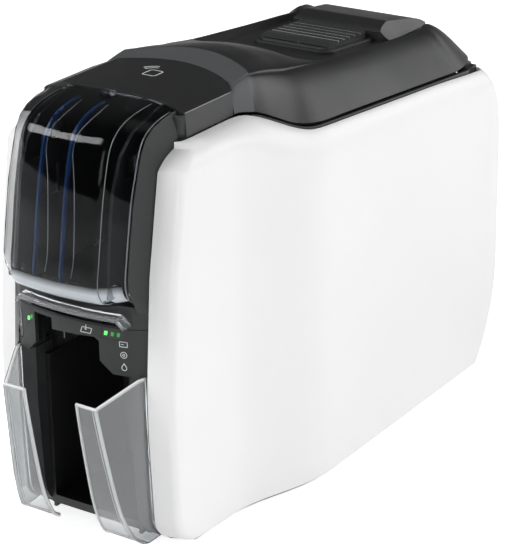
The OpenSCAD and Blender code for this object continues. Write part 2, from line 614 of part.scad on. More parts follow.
// The inner face dips below the floor of the well
lid_inner = let (inner = inset_grid(lid_outer, lid_wall)) [for (row = inner) [for (p = row)
    [p[0], p[1], p[1] > station(0.145) && abs(p[0]) < 44 ? min(p[2], well_z(p[1]) - well_floor_t) : p[2]]]];
pad_front_y = station(0.4457);
pad_half = release_w / 2;
pad_rear_y = pad_front_y + release_l;
skirt_h = 2.2;
hump_half = 30;
hump_foot = hump_half + 5;
hump_y = pad_rear_y + 1.5;
latch_y = pad_front_y + 14;
latch_z = well_z(latch_y) - 6.7;
latch_pin_r = 2;
latch_half = 44;
spring_y = pad_front_y + 6;
spring_seat_z = well_z(spring_y) - 9;
spring_r = 3.6;
module lid_wall_shell() { wall_between(lid_outer, lid_inner); }
module well_cut() {
    intersection() {
        along_z(hinge_z - 20, hopper_top_z + 20) translate([0, (well_front_y + rear_y + 20) / 2])
            round_rect(2 * well_half, rear_y + 20 - well_front_y, well_r);
        along_x(-body_w, body_w) polygon([[0, well_z(0)], [rear_y + 10, well_z(rear_y + 10)],
            [rear_y + 10, hopper_top_z + 10], [0, hopper_top_z + 10]]);
    }
}
module pad_plan(grow) {
    translate([0, (pad_front_y + pad_rear_y) / 2]) round_rect(release_w + 2 * grow, release_l + 2 * grow, 4 + grow);
}
module top_cover() {
    color(black) difference() {
        union() {
            difference() {
                lid_wall_shell();
                well_cut();
            }
            // Skirt around the release button
            intersection() {
                along_z(hinge_z, hopper_top_z + 5) pad_plan(4);
                along_x(-body_w, body_w) polygon([[40, well_z(40) - 2], [120, well_z(120) - 2],
                    [120, well_z(120) + skirt_h], [40, well_z(40) + skirt_h]]);
            }
            // Grip hump behind the button
            intersection() {
                along_z(hinge_z, hopper_top_z) translate([0, (hump_y + rear_y - 20) / 2])
                    round_rect(2 * hump_foot, rear_y - 20 - hump_y, 7);
                along_y(hump_y - 1, rear_y) polygon([[-hump_foot, well_z(rear_y) - 2], [hump_foot, well_z(rear_y) - 2],
                    [hump_foot, well_z(hump_y)], [hump_half - 3, crest_z(hump_y) + 6.5],
                    [3 - hump_half, crest_z(hump_y) + 6.5], [-hump_foot, well_z(hump_y)]]);
                along_x(-hump_foot, hump_foot) polygon([[hump_y - 1, well_z(hump_y) - 2], [hump_y, crest_z(hump_y) + 1.4],
                    [hump_y + 9, crest_z(hump_y + 9) + 5.4], [hump_y + 12, crest_z(hump_y + 12) + 6],
                    [hump_y + 30, crest_z(hump_y + 30) + 4.8], [hump_y + 42, crest_z(hump_y + 42) + 3.6],
                    [hump_y + 49, crest_z(hump_y + 49) - 1], [hump_y + 52, crest_z(hump_y + 52) - 5],
                    [hump_y + 50, well_z(hump_y + 50) - 2]]);
            }
            // Bridge that seats the button spring
            box([-pad_half - 5, spring_y - 5, spring_seat_z - 1.5], [pad_half + 5, spring_y + 5, spring_seat_z]);
            translate([0, spring_y, spring_seat_z - 1]) cylinder(r = spring_r - 1.2, h = 3);
            both_sides() {
                box([pad_half + 2, spring_y - 5, spring_seat_z - 1.5], [pad_half + 5, spring_y + 5, well_z(spring_y) - 1]);
                // Bosses of the latch pin
                box([latch_half + seat, latch_y - 4, latch_z - 4], [latch_half + 4, latch_y + 4, latch_z + 8.5]);
                // Hinge lugs
                along_x(50, 55) polygon([[hinge_y - 12, hinge_z + 9.5], [hinge_y - 5, hinge_z], [hinge_y, hinge_z],
                    [hinge_y + 4, hinge_z + 8.5]]);
                rod(hinge_y, hinge_z, 5, 50, 55);
            }
        }
        along_z(hinge_z, hopper_top_z + 5) pad_plan(seam);
        both_sides() {
            rod(hinge_y, hinge_z, hinge_r + run_gap, 49, 56);
            rod(latch_y, latch_z, latch_pin_r, latch_half, latch_half + 3);
        }
    }
}

// Release button: grooved pad on deep walls
pad_wall = 1.5;
pad_top_t = 2.5;
stem_r = 2.5;
stem_y = latch_y + 15;
groove_r = 2.2;
function pad_z(y) = crest_z(y) + (y < pad_front_y + 4 ? mix(1.2, 2.1, (y - pad_front_y) / 4) : 2.3);
function pad_under_z(y) = mix(pad_z(pad_front_y), pad_z(pad_rear_y), (y - pad_front_y) / release_l) - pad_top_t;
module release_button() {
    y0 = pad_front_y;
    y1 = pad_rear_y;
    groove_pitch = release_l * 0.64 / groove_count;
    color(black) {
        difference() {
            intersection() {
                along_z(latch_z, hopper_top_z) pad_plan(0);
                along_x(-pad_half, pad_half) polygon(concat([[y0, well_z(y0) - 1]],
                    [for (y = [y0, y0 + 1, y0 + 4, y1 - 2]) [y, pad_z(y)]],
                    [[y1, pad_z(y1) - 1.2], [y1, well_z(y1) - 1]]));
            }
            intersection() {
                along_z(latch_z, hopper_top_z) pad_plan(-pad_wall);
                along_x(-pad_half, pad_half) polygon([[y0, well_z(y0) - 2], [y0, pad_under_z(y0)],
                    [y1, pad_under_z(y1)], [y1, well_z(y1) - 2]]);
            }
            // Grip grooves across the rear of the pad
            for (i = [0:groove_count - 1]) let (y = y0 + release_l * 0.3 + i * groove_pitch)
                rod(y, pad_z(y) + 1.2, groove_r, -pad_half - 1, pad_half + 1);
        }
        translate([0, stem_y, latch_z + 2.8]) cylinder(r = stem_r, h = pad_z(stem_y) - latch_z - 4.1);
        translate([0, spring_y, pad_under_z(spring_y) - 3]) cylinder(r = spring_r - 1.2, h = 3.4);
    }
}

// Coil spring under the front of the button
spring_wire = 0.5;
spring_turns = 5;
module button_spring() {
    low = spring_seat_z + spring_wire + 0.05;
    high = pad_under_z(spring_y + spring_r) - spring_wire - 0.1;
    steps = 16 * spring_turns;
    ring = 6;
    ends = 1.2 / spring_turns;
    points = [for (i = [0:steps]) let (t = i / steps, a = 360 * spring_turns * t,
            rise = mix(low, high, min(1, max(0, (t - ends / 2) / (1 - ends)))))
        for (k = [0:ring - 1]) let (b = 360 * k / ring, r = spring_r + spring_wire * cos(b))
            [r * cos(a), spring_y + r * sin(a), rise + spring_wire * sin(b)]];
    color(steel) polyhedron(points = points, faces = concat(
        [for (i = [0:steps - 1], k = [0:ring - 1]) let (m = (k + 1) % ring)
            each quad(i * ring + k, (i + 1) * ring + k, (i + 1) * ring + m, i * ring + m)],
        [[for (k = [ring - 1:-1:0]) k], [for (k = [0:ring - 1]) steps * ring + k]]));
}

// Latch yoke on its pin: the button tips it and its hooks leave the deck
keeper_y = latch_y + 8;
module latch_yoke() {
    color(grey) difference() {
        union() {
            box([-latch_half, latch_y + 6, latch_z - 1], [latch_half, latch_y + 18, latch_z + 2]);
            both_sides() {
                along_x(latch_half - 6, latch_half) polygon([[latch_y - 4, latch_z], [latch_y - 2, deck_z(latch_y) - 5],
                    [keeper_y - seat - 2, deck_z(latch_y) - 5], [keeper_y - seat, deck_z(latch_y) - 2],
                    [keeper_y - 4, deck_z(latch_y) + 3], [latch_y + 8, latch_z - 1], [latch_y + 8, latch_z + 2],
                    [latch_y, latch_z + 3.3]]);
                rod(latch_y, latch_z, 3.3, latch_half - 6, latch_half);
            }
        }
        rod(latch_y, latch_z, latch_pin_r + run_gap, -latch_half - 1, latch_half + 1);
    }
}
module latch_pin() { color(steel) rod(latch_y, latch_z, latch_pin_r, -latch_half - 3, latch_half + 3); }
module cover_hinge_pins() { color(steel) both_sides() rod(hinge_y, hinge_z, hinge_r, 49.7, 60.5); }

// ---- Upper deck: inner top of the body ----
deck_t = 2.5;
deck_front_y = -30;
trough_y = rear_y - 28;
trough_z = hinge_z - 13.5;
bay_half = plate_x + plate_t + deck_t;
bay_foot_z = path_z + 30;
ledge_w = 2;
ledge_out_x = 0.7;
function deck_z(y) = rim_rear_z - side_wall - seat - fall(y);
// Rim of the deck between a side cover and the lid
module deck_rim() {
    ys = [collar_y - 22, each [for (y = [-56:5:-21]) if (y > collar_y - 20) y], -10, 20, 60, 100, trough_y - 4];
    function rim_point(y, in, top) = [rim_x(y) - ledge_out_x - in, y,
        top ? rim_z(y) + ledge(y) - 1.1 : rim_z(y) - side_wall - seat - deck_t];
    wall_between([for (top = [false, true]) [for (y = ys) rim_point(y, 0, top)]],
        [for (top = [false, true]) [for (y = ys) rim_point(y, ledge_w, top)]]);
}
module upper_deck() {
    ys = [deck_front_y, -24, -18, 20, 80, trough_y];
    right = [for (y = ys) [rim_x(y) - ledge_out_x - 0.4, y]];
    ear_r = 4.5;
    color(black) difference() {
        union() {
            intersection() {
                along_z(trough_z, hopper_top_z) polygon(concat(right,
                    [for (i = [len(ys) - 1:-1:0]) [-right[i][0], right[i][1]]]));
                along_x(-body_w, body_w) polygon([[deck_front_y, deck_z(deck_front_y)], [trough_y, deck_z(trough_y)],
                    [trough_y, deck_z(trough_y) - deck_t], [deck_front_y, deck_z(deck_front_y) - deck_t]]);
            }
            both_sides() {
                deck_rim();
                // Walls of the ribbon bay
                along_x(bay_half - deck_t, bay_half) polygon([[deck_front_y, bay_foot_z],
                    [deck_front_y, deck_z(deck_front_y) - 0.5], [bay_rear_y, deck_z(bay_rear_y) - 0.5],
                    [bay_rear_y, bay_foot_z]]);
                // Shelf and block beside the trough
                box([61, trough_y - 2, deck_z(trough_y) - deck_t], [66.5, rear_y - 18, deck_z(trough_y)]);
                box([61, rear_y - 26, trough_z], [65, rear_y - 15, hinge_z + 2]);
                along_x(61, 63) polygon([[trough_y, trough_z], [rear_y - 9, trough_z], [rear_y - 9, trough_z + 5],
                    [rear_y - 16, hinge_z], [trough_y, hinge_z]]);
                // Ears of the cover hinge
                box([56, hinge_y - ear_r, trough_z], [61, hinge_y + ear_r, hinge_z]);
                rod(hinge_y, hinge_z, ear_r, 56, 61);
            }
            // Trough that the rear edge of the cover turns into
            box([-63, trough_y, trough_z - 2], [63, rear_y - 9, trough_z]);
            box([-63, trough_y - 2, trough_z - 2], [63, trough_y, deck_z(trough_y)]);
            box([-bay_half, bay_rear_y - deck_t, bay_foot_z], [bay_half, bay_rear_y, deck_z(bay_rear_y) - 0.5]);
        }
        // Opening of the ribbon bay
        box([-bay_half + deck_t, deck_front_y - 1, path_z], [bay_half - deck_t, bay_rear_y - deck_t, hopper_top_z]);
        both_sides() {
            box([latch_half - 6.8, latch_y - 8, bay_foot_z + 5], [latch_half + 0.8, keeper_y, hopper_top_z]);
            rod(hinge_y, hinge_z, hinge_r, 55, 60.5);
        }
    }
}

// ---- Rear panel ----
panel_t = 2.5;
panel_inset = 2;
fan_z = 110;
fan_size = 50;
lock_w = 7;
lock_h = 3;
lock_x = -50;
lock_z = 60;
inlet_x = -5;
inlet_z = 60;
board_x = 44;
usb_z = 62;
net_z = 82;
screw_r = 1.5;
screw_x = 36;
screw_levels = [85, 145];
function back_line(inset, z0, z1) = [for (z = concat([z0], [for (m = [15, 25, 40, 55, 70, 150, 165]) if (m > z0 && m < z1) m], [z1]))
    [rear_y - panel_inset - inset - rear_lean(z), z]];
module rear_panel() {
    z0 = base_z + floor_t;
    z1 = trough_z - 2;
    half = body_w / 2 - rear_round - 0.5;
    color(black) difference() {
        along_x(-half, half) polygon(concat(back_line(0, z0, z1), reversed(back_line(panel_t, z0, z1))));
        // Grille of the fan
        for (x = [-3:3]) let (h = sqrt(max(0, 22 * 22 - 36 * x * x)))
            if (h > 4) box([x * 6 - 1.5, rear_y - 20, fan_z - h], [x * 6 + 1.5, rear_y + 1, fan_z + h]);
        // Vents beside it
        both_sides() for (i = [0:5]) box([44, rear_y - 20, 96 + i * 9], [62, rear_y + 1, 99 + i * 9]);
        // Security lock slot
        along_y(rear_y - 20, rear_y + 1) translate([lock_x, lock_z]) hull() both_sides()
            translate([lock_w / 2 - lock_h / 2, 0]) circle(lock_h / 2);
        // Power inlet, board sockets and screws
        box([inlet_x - 14.3, rear_y - 20, inlet_z - 10.3], [inlet_x + 14.3, rear_y + 1, inlet_z + 10.3]);
        box([board_x + 1.4, rear_y - 20, usb_z - 6], [board_x + 14, rear_y + 1, usb_z + 6]);
        box([board_x + 1.4, rear_y - 20, net_z - 7.2], [board_x + 17.6, rear_y + 1, net_z + 7.2]);
        both_sides() for (z = screw_levels) translate([screw_x, rear_y, z]) rotate([90, 0, 0])
            cylinder(r = screw_r + 0.05, h = 6);
    }
}
module cover_screws() {
    color(steel) both_sides() for (z = screw_levels) translate([screw_x, rear_y - panel_inset, z]) rotate([90, 0, 0]) {
        cylinder(r = screw_r, h = panel_t + plate_t + 2);
        difference() {
            translate([0, 0, -1.8]) cylinder(r = 2.8, h = 1.8);
            translate([0, 0, -2]) cylinder(r = 1.4, h = 1.2, $fn = 6);
        }
    }
}

// ---- Controls behind the fascia ----
board_y = fascia_y + 6;
module power_button() {
    color(grey) {
        difference() {
            intersection() {
                bowed_shell(block_low_z, seam_z, fascia_y + 2);
                along_y(fascia_y - 20, fascia_y + 1) power_outline(0);
            }
            // Ring and bar of the power sign, sunk into the face
            along_y(fascia_y - 10, bow_y(power_x) + 0.45) translate([power_x, power_z - 1]) {
                difference() {
                    circle(2.3);
                    circle(1.8);
                }
                translate([-0.25, 0.4]) square([0.5, 2.6]);
            }
        }
        // Stem to the switch
        box([power_x - 0.6, bow_y(power_x) + 1.5, power_z - 4], [power_x + 1.6, board_y - power_travel - seat, power_z + 4]);
    }
}
module light_windows() {
    color("#30c040") intersection() {
        difference() {
            along_z(block_low_z, seam_z) behind_bow(0.3, fascia_y + 3);
            along_z(block_low_z - 1, seam_z + 1) behind_bow(2.4, fascia_y + 4);
        }
        along_y(fascia_y - 20, fascia_y + 3) {
            window_outline(left_window, 0);
            window_outline(right_window, 0);
        }
    }
}
module indicator_board() {
    t = 1.6;
    color("#1f5a34") {
        box([-fascia_half + 2.8, board_y, 107], [opening_left_x - 2, board_y + t, seam_z - 1]);
        box([opening_right_x + 1.5, board_y, 107], [fascia_half - 2.8, board_y + t, seam_z - 1]);
        box([-30, board_y, seam_z - 3.5], [30, board_y + t, seam_z - 1]);
    }
    color(grey) box([power_x - 1, board_y - power_travel, power_z - 5.5], [power_x + 2.6, board_y, power_z - 4.3]);
    color("#40d850") for (x = [left_window[0], right_window[0] - 3, right_window[0], right_window[0] + 3])
        box([x - 1, bow_y(x) + 3.2, 123.5], [x + 1, board_y, 126]);
}

// ---- Sheet metal side plates ----
roller_z = path_z - card_gap / 2 - roller_r;
pinch_z = path_z + card_gap / 2 + pinch_r;
function pitch(n) = tooth_m * n / 2;
drive_n = 16;
bus_n = 42;
transfer_n = 22;
middle_n = 18;
pick_n = 12;
exit_n = 14;
pinion_n = 12;
platen_y = stack_back_y + 103.4;
bus_y = platen_y - pitch(bus_n) - pitch(drive_n);
feed_y = bus_y - pitch(bus_n) - pitch(drive_n);
transfer_y = platen_y + pitch(drive_n) + pitch(transfer_n);
transport_y = transfer_y + pitch(transfer_n) + pitch(drive_n);
pick_r = 5.3;
pick_y = stack_front_y + 57;
pick_z = hopper_floor_z + hopper_floor_t + seat - pick_r;
motor_z = roller_z - pitch(bus_n) - pitch(pinion_n);
exit_r = 7;
// Place at given distances from two others, on the lower side of their line
function meet(a, b, ra, rb) =
    let (d = norm(b - a), u = (b - a) / d, s = (d * d + ra * ra - rb * rb) / (2 * d), h = sqrt(ra * ra - s * s))
    a + u * s + h * [u[1], -u[0]];
feed_at = [feed_y, roller_z];
pick_at = [pick_y, pick_z];
middle_at = meet(pick_at, feed_at, pitch(middle_n) + pitch(pick_n), pitch(middle_n) + pitch(drive_n));
exit_angle = -110;
exit_at = middle_at + (pitch(middle_n) + pitch(exit_n)) * [cos(exit_angle), sin(exit_angle)];
bus_at = [bus_y, roller_z];
platen_at = [platen_y, roller_z];
transfer_at = [transfer_y, roller_z];
transport_at = [transport_y, roller_z];
motor_at = [bus_y, motor_z];
supply_at = [platen_y + 50, path_z + 31];
takeup_at = [platen_y - 46, path_z + 36];
cleaner_r = 6.6;
cleaner_at = [feed_y + 21, path_z + card_gap / 2 + cleaner_r];
feed_pinch_at = [feed_y, pinch_z];
transport_pinch_at = [transport_y, pinch_z];

flange_y = rear_y - panel_inset - panel_t;
shaft_places = [pick_at, feed_at, platen_at, transport_at, exit_at];
bush_r = shaft_r + 1.5;
bay_rear_y = min(supply_at[0] + 41, trough_y - 2.5);
plate_front_y = stack_back_y + 6.9;
plate_rear_y = bay_rear_y - deck_t - seat;
plate_top_z = deck_z(bay_rear_y) - 1.7;
idle_shaft_r = 2;
module frame_plate() {
    z0 = base_z + floor_t;
    x1 = plate_x + plate_t;
    difference() {
        union() {
            along_x(plate_x, x1) polygon(concat([[plate_front_y, z0], [rear_y - 52, z0]],
                back_line(panel_t + seat, 26, bay_foot_z), [[plate_rear_y, bay_foot_z], [plate_rear_y, plate_top_z],
                [plate_front_y, plate_top_z], [plate_front_y, hopper_floor_z], [stack_front_y + 27, hopper_floor_z],
                [stack_front_y + 27, bay_top_z + 2], [plate_front_y, bay_top_z + 2]]));
            rod(pick_y, pick_z, bush_r + 2, plate_x, x1);
            // Feet and rear flange
            box([plate_x, plate_front_y + 5, z0], [x1 + 10, plate_front_y + 25, z0 + plate_t]);
            box([plate_x, rear_y - 88, z0], [x1 + 10, rear_y - 63, z0 + plate_t]);
            box([plate_x, flange_y - plate_t, 78], [x1 + 9, flange_y, 149]);
        }
        for (p = shaft_places) rod(p[0], p[1], bush_r, plate_x - 1, x1 + 1);
        for (p = [cleaner_at, feed_pinch_at, transport_pinch_at])
            rod(p[0], p[1], idle_shaft_r, plate_x - 1, x1 + 1);
        // Lightening openings
        for (w = [[bus_y - 34.5, 26, 34, 34], [platen_y + 2, 66, 34, 34], [platen_y + 44, 66, 34, 34],
                [feed_y - 1, 156, 22, 26]])
            along_x(plate_x - 1, x1 + 1) translate([w[0] + w[2] / 2, w[1] + w[3] / 2]) round_rect(w[2], w[3], 5);
        for (z = screw_levels) translate([screw_x, rear_y, z]) rotate([90, 0, 0])
            cylinder(r = screw_r, h = 12);
    }
}
module right_frame_plate() {
    color(steel) {
        frame_plate();
        // Standoffs of the mainboard
        for (p = board_screws) rod(p[0], p[1], 3, plate_x + plate_t - 0.2, board_x);
    }
}
module left_frame_plate() {
    color(steel) difference() {
        mirror([1, 0, 0]) frame_plate();
        for (p = [middle_at, bus_at, transfer_at]) rod(p[0], p[1], stud_r - 0.5, -plate_x - 4, -plate_x + 1);
        rod(motor_at[0], motor_at[1], 11.1, -plate_x - 4, -plate_x + 1);
    }
}
module shaft_bushings() {
    x1 = plate_x + plate_t;
    color("#b08d57") both_sides() for (p = shaft_places) difference() {
        union() {
            rod(p[0], p[1], bush_r, plate_x, x1);
            rod(p[0], p[1], bush_r + 1.5, plate_x - 1, plate_x);
        }
        rod(p[0], p[1], shaft_r + run_gap, plate_x - 2, x1 + 1);
    }
}

// ---- Rollers on their shafts ----
roller_half = card_w / 2;
gear_x0 = -plate_x - plate_t - 7;
gear_x1 = gear_x0 + gear_w;
module shaft(at) {
    color(steel) rod(at[0], at[1], shaft_r, gear_x0 - 1, plate_x + plate_t + 4);
}
module roller(at, r, shade) {
    color(shade) difference() {
        rod(at[0], at[1], r, -roller_half, roller_half);
        rod(at[0], at[1], shaft_r, -roller_half - 1, roller_half + 1);
    }
}
module platen_shaft() { shaft(platen_at); }
module pick_roller() {
    color("#5a6066") for (x = [-12, 12]) difference() {
        rod(pick_at[0], pick_at[1], pick_r, x - 5, x + 5);
        rod(pick_at[0], pick_at[1], shaft_r, x - 6, x + 6);
    }
}
module feed_roller() { roller(feed_at, roller_r, "#5a6066"); }
module platen_roller() { roller(platen_at, roller_r, "#303438"); }
module transport_roller() { roller(transport_at, roller_r, "#5a6066"); }
module exit_roller() { roller(exit_at, exit_r, "#5a6066"); }

// Idle rollers above the path turn on fixed pins
module idle_roller(at, r, shade) {
    color(shade) difference() {
        rod(at[0], at[1], r, -roller_half, roller_half);
        rod(at[0], at[1], idle_shaft_r + run_gap, -roller_half - 1, roller_half + 1);
    }
}
module feed_pinch_roller() { idle_roller(feed_pinch_at, pinch_r, grey); }
module transport_pinch_roller() { idle_roller(transport_pinch_at, pinch_r, grey); }
module cleaning_roller() { idle_roller(cleaner_at, cleaner_r, "#4878b0"); }
module idle_pins() {
    color(steel) for (p = [feed_pinch_at, transport_pinch_at, cleaner_at])
        rod(p[0], p[1], idle_shaft_r, -plate_x - plate_t, plate_x + plate_t);
}

// ---- Gears: involute teeth, meshed in phase along the train ----
pressure = 20;
backlash = 0.16;
function involute(a) = tan(a) * 180 / PI - a;
function tooth_half(n, r) =
    let (base = pitch(n) * cos(pressure))
    90 / n - backlash / (2 * pitch(n)) * 180 / PI + involute(pressure) - (r > base ? involute(acos(base / r)) : 0);
function ring_point(r, a) = r * [cos(a), sin(a)];
function gear_outline(n, phase) =
    let (
        root = pitch(n) - 1.25 * tooth_m,
        base = max(root + 0.05, pitch(n) * cos(pressure)),
        tip = pitch(n) + 0.92 * tooth_m,
        steps = [base, mix(base, tip, 0.33), mix(base, tip, 0.67), tip])
    [for (k = [0:n - 1]) let (c = phase + 360 * k / n) each concat(
        [ring_point(root, c - tooth_half(n, base))],
        [for (r = steps) ring_point(r, c - tooth_half(n, r))],
        [for (i = [3:-1:0]) ring_point(steps[i], c + tooth_half(n, steps[i]))],
        [ring_point(root, c + tooth_half(n, base))])];
// Phase of gear b, of nb teeth, that meshes with gear a of phase pa
function mesh_phase(a, b, na, nb, pa) =
    let (d = b - a, t = atan2(d[1], d[0])) t + 180 + (180 - (pa - t) * na) / nb;
bus_phase = 0;
feed_phase = mesh_phase(bus_at, feed_at, bus_n, drive_n, bus_phase);
platen_phase = mesh_phase(bus_at, platen_at, bus_n, drive_n, bus_phase);
pinion_phase = mesh_phase(bus_at, motor_at, bus_n, pinion_n, bus_phase);
transfer_phase = mesh_phase(platen_at, transfer_at, drive_n, transfer_n, platen_phase);
transport_phase = mesh_phase(transfer_at, transport_at, transfer_n, drive_n, transfer_phase);
middle_phase = mesh_phase(feed_at, middle_at, drive_n, middle_n, feed_phase);
pick_phase = mesh_phase(middle_at, pick_at, middle_n, pick_n, middle_phase);
exit_phase = mesh_phase(middle_at, exit_at, middle_n, exit_n, middle_phase);
module gear(at, n, phase, bore, web) {
    translate([0, at[0], at[1]]) difference() {
        union() {
            along_x(gear_x0, gear_x1) polygon(gear_outline(n, phase));
            rod(0, 0, shaft_r + 2.5, gear_x0, gear_x1 + 1);
        }
        if (bore > 0) rod(0, 0, bore, gear_x0 - 1, gear_x1 + 2);
        if (web) {
            // Thinner web with round openings between hub and rim
            rim_r = pitch(n) - 1.25 * tooth_m - 2.5;
            hub_r = bore + 3.5;
            difference() {
                rod(0, 0, rim_r, gear_x0 - 1, gear_x0 + 1.5);
                rod(0, 0, hub_r, gear_x0 - 2, gear_x0 + 2);
            }
            if (rim_r - hub_r > 6) for (k = [0:5]) rotate([60 * k, 0, 0])
                rod((rim_r + hub_r) / 2, 0, (rim_r - hub_r) / 2 - 2.5, gear_x0 - 1, gear_x1 + 1);
        }
    }
}
gear_shade = "#d8d6cc";
stud_r = 3;
module bus_gear() { color(gear_shade) gear(bus_at, bus_n, bus_phase, stud_r + run_gap, true); }
module middle_gear() { color(gear_shade) gear(middle_at, middle_n, middle_phase, stud_r + run_gap, true); }
module transfer_gear() { color(gear_shade) gear(transfer_at, transfer_n, transfer_phase, stud_r + run_gap, true); }
module platen_gear() { color(gear_shade) gear(platen_at, drive_n, platen_phase, shaft_r, false); }
// Feeding shafts are moulded in one with their gears
module moulded_shaft(at, n, phase) {
    color(gear_shade) {
        gear(at, n, phase, 0, false);
        rod(at[0], at[1], shaft_r, gear_x0 - 1, plate_x + plate_t + 4);
    }
}
module pick_shaft() { moulded_shaft(pick_at, pick_n, pick_phase); }
module feed_shaft() { moulded_shaft(feed_at, drive_n, feed_phase); }
module transport_shaft() { moulded_shaft(transport_at, drive_n, transport_phase); }
module exit_shaft() { moulded_shaft(exit_at, exit_n, exit_phase); }
module motor_pinion() {
    color("#b08d57") {
        gear(motor_at, pinion_n, pinion_phase, 0, false);
        rod(motor_at[0], motor_at[1], motor_shaft_r, gear_x0 - 1, -plate_x + 7);
    }
}
module gear_studs() {
    color(steel) for (p = [bus_at, middle_at, transfer_at]) {
        rod(p[0], p[1], stud_r, gear_x0 - 0.5, -plate_x - plate_t);
        rod(p[0], p[1], stud_r - 0.5, -plate_x - plate_t, -plate_x);
        rod(p[0], p[1], stud_r + 1.5, gear_x0 - 1.5, gear_x0 - 0.5);
    }
}
motor_shaft_r = 2.5;
motor_size = 42;
module drive_motor() {
    s = motor_size / 2;
    c = 4;
    ends = [[-plate_x, -plate_x + 8], [0, 8]];
    color(grey) {
        for (e = ends) along_x(e[0], e[1]) translate(motor_at) difference() {
            polygon([[s, c - s], [s, s - c], [s - c, s], [c - s, s], [-s, s - c], [-s, c - s], [c - s, -s], [s - c, -s]]);
            if (e[0] < -8) circle(motor_shaft_r + run_gap);
        }
        along_x(ends[0][1], ends[1][0]) translate(motor_at) square(motor_size - 1.2, center = true);
        difference() {
            rod(motor_at[0], motor_at[1], 11, -plate_x - plate_t, -plate_x + 1);
            rod(motor_at[0], motor_at[1], motor_shaft_r + run_gap, -plate_x - plate_t - 1, -plate_x + 2);
        }
    }
}

// ---- Ribbon ----
web_t = 0.25;
hub_gap = 0.05;
spool_half = card_w / 2 - 1;
hub_tip_x = spool_half - 6;
module spool(at, roll_r) {
    color(black) difference() {
        rod(at[0], at[1], roll_r, -spool_half + 1.5, spool_half - 1.5);
        rod(at[0], at[1], core_r - 1.5, -spool_half, spool_half);
    }
    color(grey) difference() {
        both_sides() rod(at[0], at[1], core_r + 1, spool_half - 1.5, spool_half);
        rod(at[0], at[1], core_r - 1.5, -spool_half - 1, spool_half + 1);
    }
}
module supply_spool() { spool(supply_at, supply_r); }
module takeup_spool() { spool(takeup_at, takeup_r); }
module spool_hubs() {
    color(grey) both_sides() for (p = [supply_at, takeup_at]) {
        rod(p[0], p[1], core_r - 1.5 - hub_gap, hub_tip_x, spool_half + 0.5);
        rod(p[0], p[1], core_r + 2.5, spool_half + 0.5, plate_x);
    }
}
head_z = path_z + card_gap / 2 + 0.7;
module ribbon_web() {
    half = spool_half - 2;
    peel_y = platen_y - 12;
    guide_y = platen_y + 12;
    low = [[guide_y, head_z - 0.3], [peel_y, head_z - 0.3]];
    from_supply = [supply_at[0] - supply_r * 0.6, supply_at[1] - supply_r * 0.8] + [-0.3, -0.4];
    to_takeup = [takeup_at[0] + takeup_r * 0.6, takeup_at[1] - takeup_r * 0.8] + [0.3, -0.4];
    color("#5b3f8c") along_x(-half, half) polygon([from_supply, low[0], low[1], to_takeup,
        to_takeup + [-web_t * 0.7, -web_t * 0.6], low[1] + [-web_t * 0.4, -web_t], low[0] + [web_t * 0.4, -web_t],
        from_supply + [web_t * 0.7, -web_t * 0.6]]);
}
module printhead() {
    half = roller_half + 1;
    color(grey) {
        along_x(-half, half) polygon([[platen_y - 10, head_z], [platen_y + 10, head_z], [platen_y + 10, head_z + 3],
            [platen_y + 4, head_z + 8], [platen_y - 4, head_z + 8], [platen_y - 10, head_z + 3]]);
        for (i = [-3:3]) box([-18, platen_y + i * 1.2 - 0.35, head_z + 8], [18, platen_y + i * 1.2 + 0.35, head_z + 14]);
    }
}
module head_bracket() {
    half = 20;
    t = 1.5;
    top = well_z(platen_y + 8) - well_floor_t - 0.1;
    color(steel) {
        both_sides() {
            box([half, platen_y - 3.5, head_z + 8], [half + t, platen_y + 3.5, top]);
            box([half, platen_y - 3.5, head_z + 18], [half + t, platen_y + 6.5, top]);
        }
        box([-half - t, platen_y + 5, head_z + 18], [half + t, platen_y + 6.5, top]);
        box([-half - t, platen_y - 6, top - t], [half + t, platen_y + 8, top]);
    }
}

// ---- Electronics ----
board_t = 1.6;
board_y0 = rear_y - 198;
board_y1 = rear_y - 18.5;
board_screws = [for (y = [board_y0 + 10, board_y1 - 45], z = [30, 112]) [y, z]];
module mainboard() {
    x1 = board_x + board_t;
    usb_y = rear_y - panel_inset - rear_lean(usb_z) - 0.5;
    net_y = rear_y - panel_inset - rear_lean(net_z) - 0.5;
    color("#1f5a34") difference() {
        box([board_x, board_y0, 20], [x1, board_y1, 120]);
        for (p = board_screws) rod(p[0], p[1], 1.6, board_x - 1, x1 + 1);
    }
    color(steel) {
        difference() {
            box([x1, usb_y - 16, usb_z - 5.5], [x1 + 11, usb_y, usb_z + 5.5]);
            box([x1 + 1.5, usb_y - 9, usb_z - 4.2], [x1 + 10, usb_y + 1, usb_z + 4.2]);
        }
        difference() {
            box([x1, net_y - 21, net_z - 6.7], [x1 + 15, net_y, net_z + 6.7]);
            box([x1 + 1.5, net_y - 13, net_z - 5.2], [x1 + 13.5, net_y + 1, net_z + 3.8]);
        }
    }
    color(black) {
        box([x1, board_y0 + 50, 60], [x1 + 2, board_y0 + 72, 82]);
        box([x1, board_y0 + 90, 64], [x1 + 1.6, board_y0 + 106, 78]);
        box([x1, board_y0 + 8, 40], [x1 + 7, board_y0 + 16, 90]);
        for (y = [40, 80, 120]) box([x1, board_y0 + y, 100], [x1 + 6, board_y0 + y + 22, 108]);
    }
    color(grey) for (y = [120, 134, 148]) rod(board_y0 + y, 50, 4.5, x1, x1 + 8);
}
supply_front_y = rear_y - 138;
supply_rear_y = rear_y - 38;
supply_top_z = inlet_z - 2;
module power_supply() {
    color(steel) difference() {
        box([-26, supply_front_y, base_z + floor_t], [26, supply_rear_y, supply_top_z]);
        for (i = [0:8]) box([-16, supply_front_y + 10 + i * 9, supply_top_z - 2],
            [16, supply_front_y + 14 + i * 9, supply_top_z + 2]);
    }
}
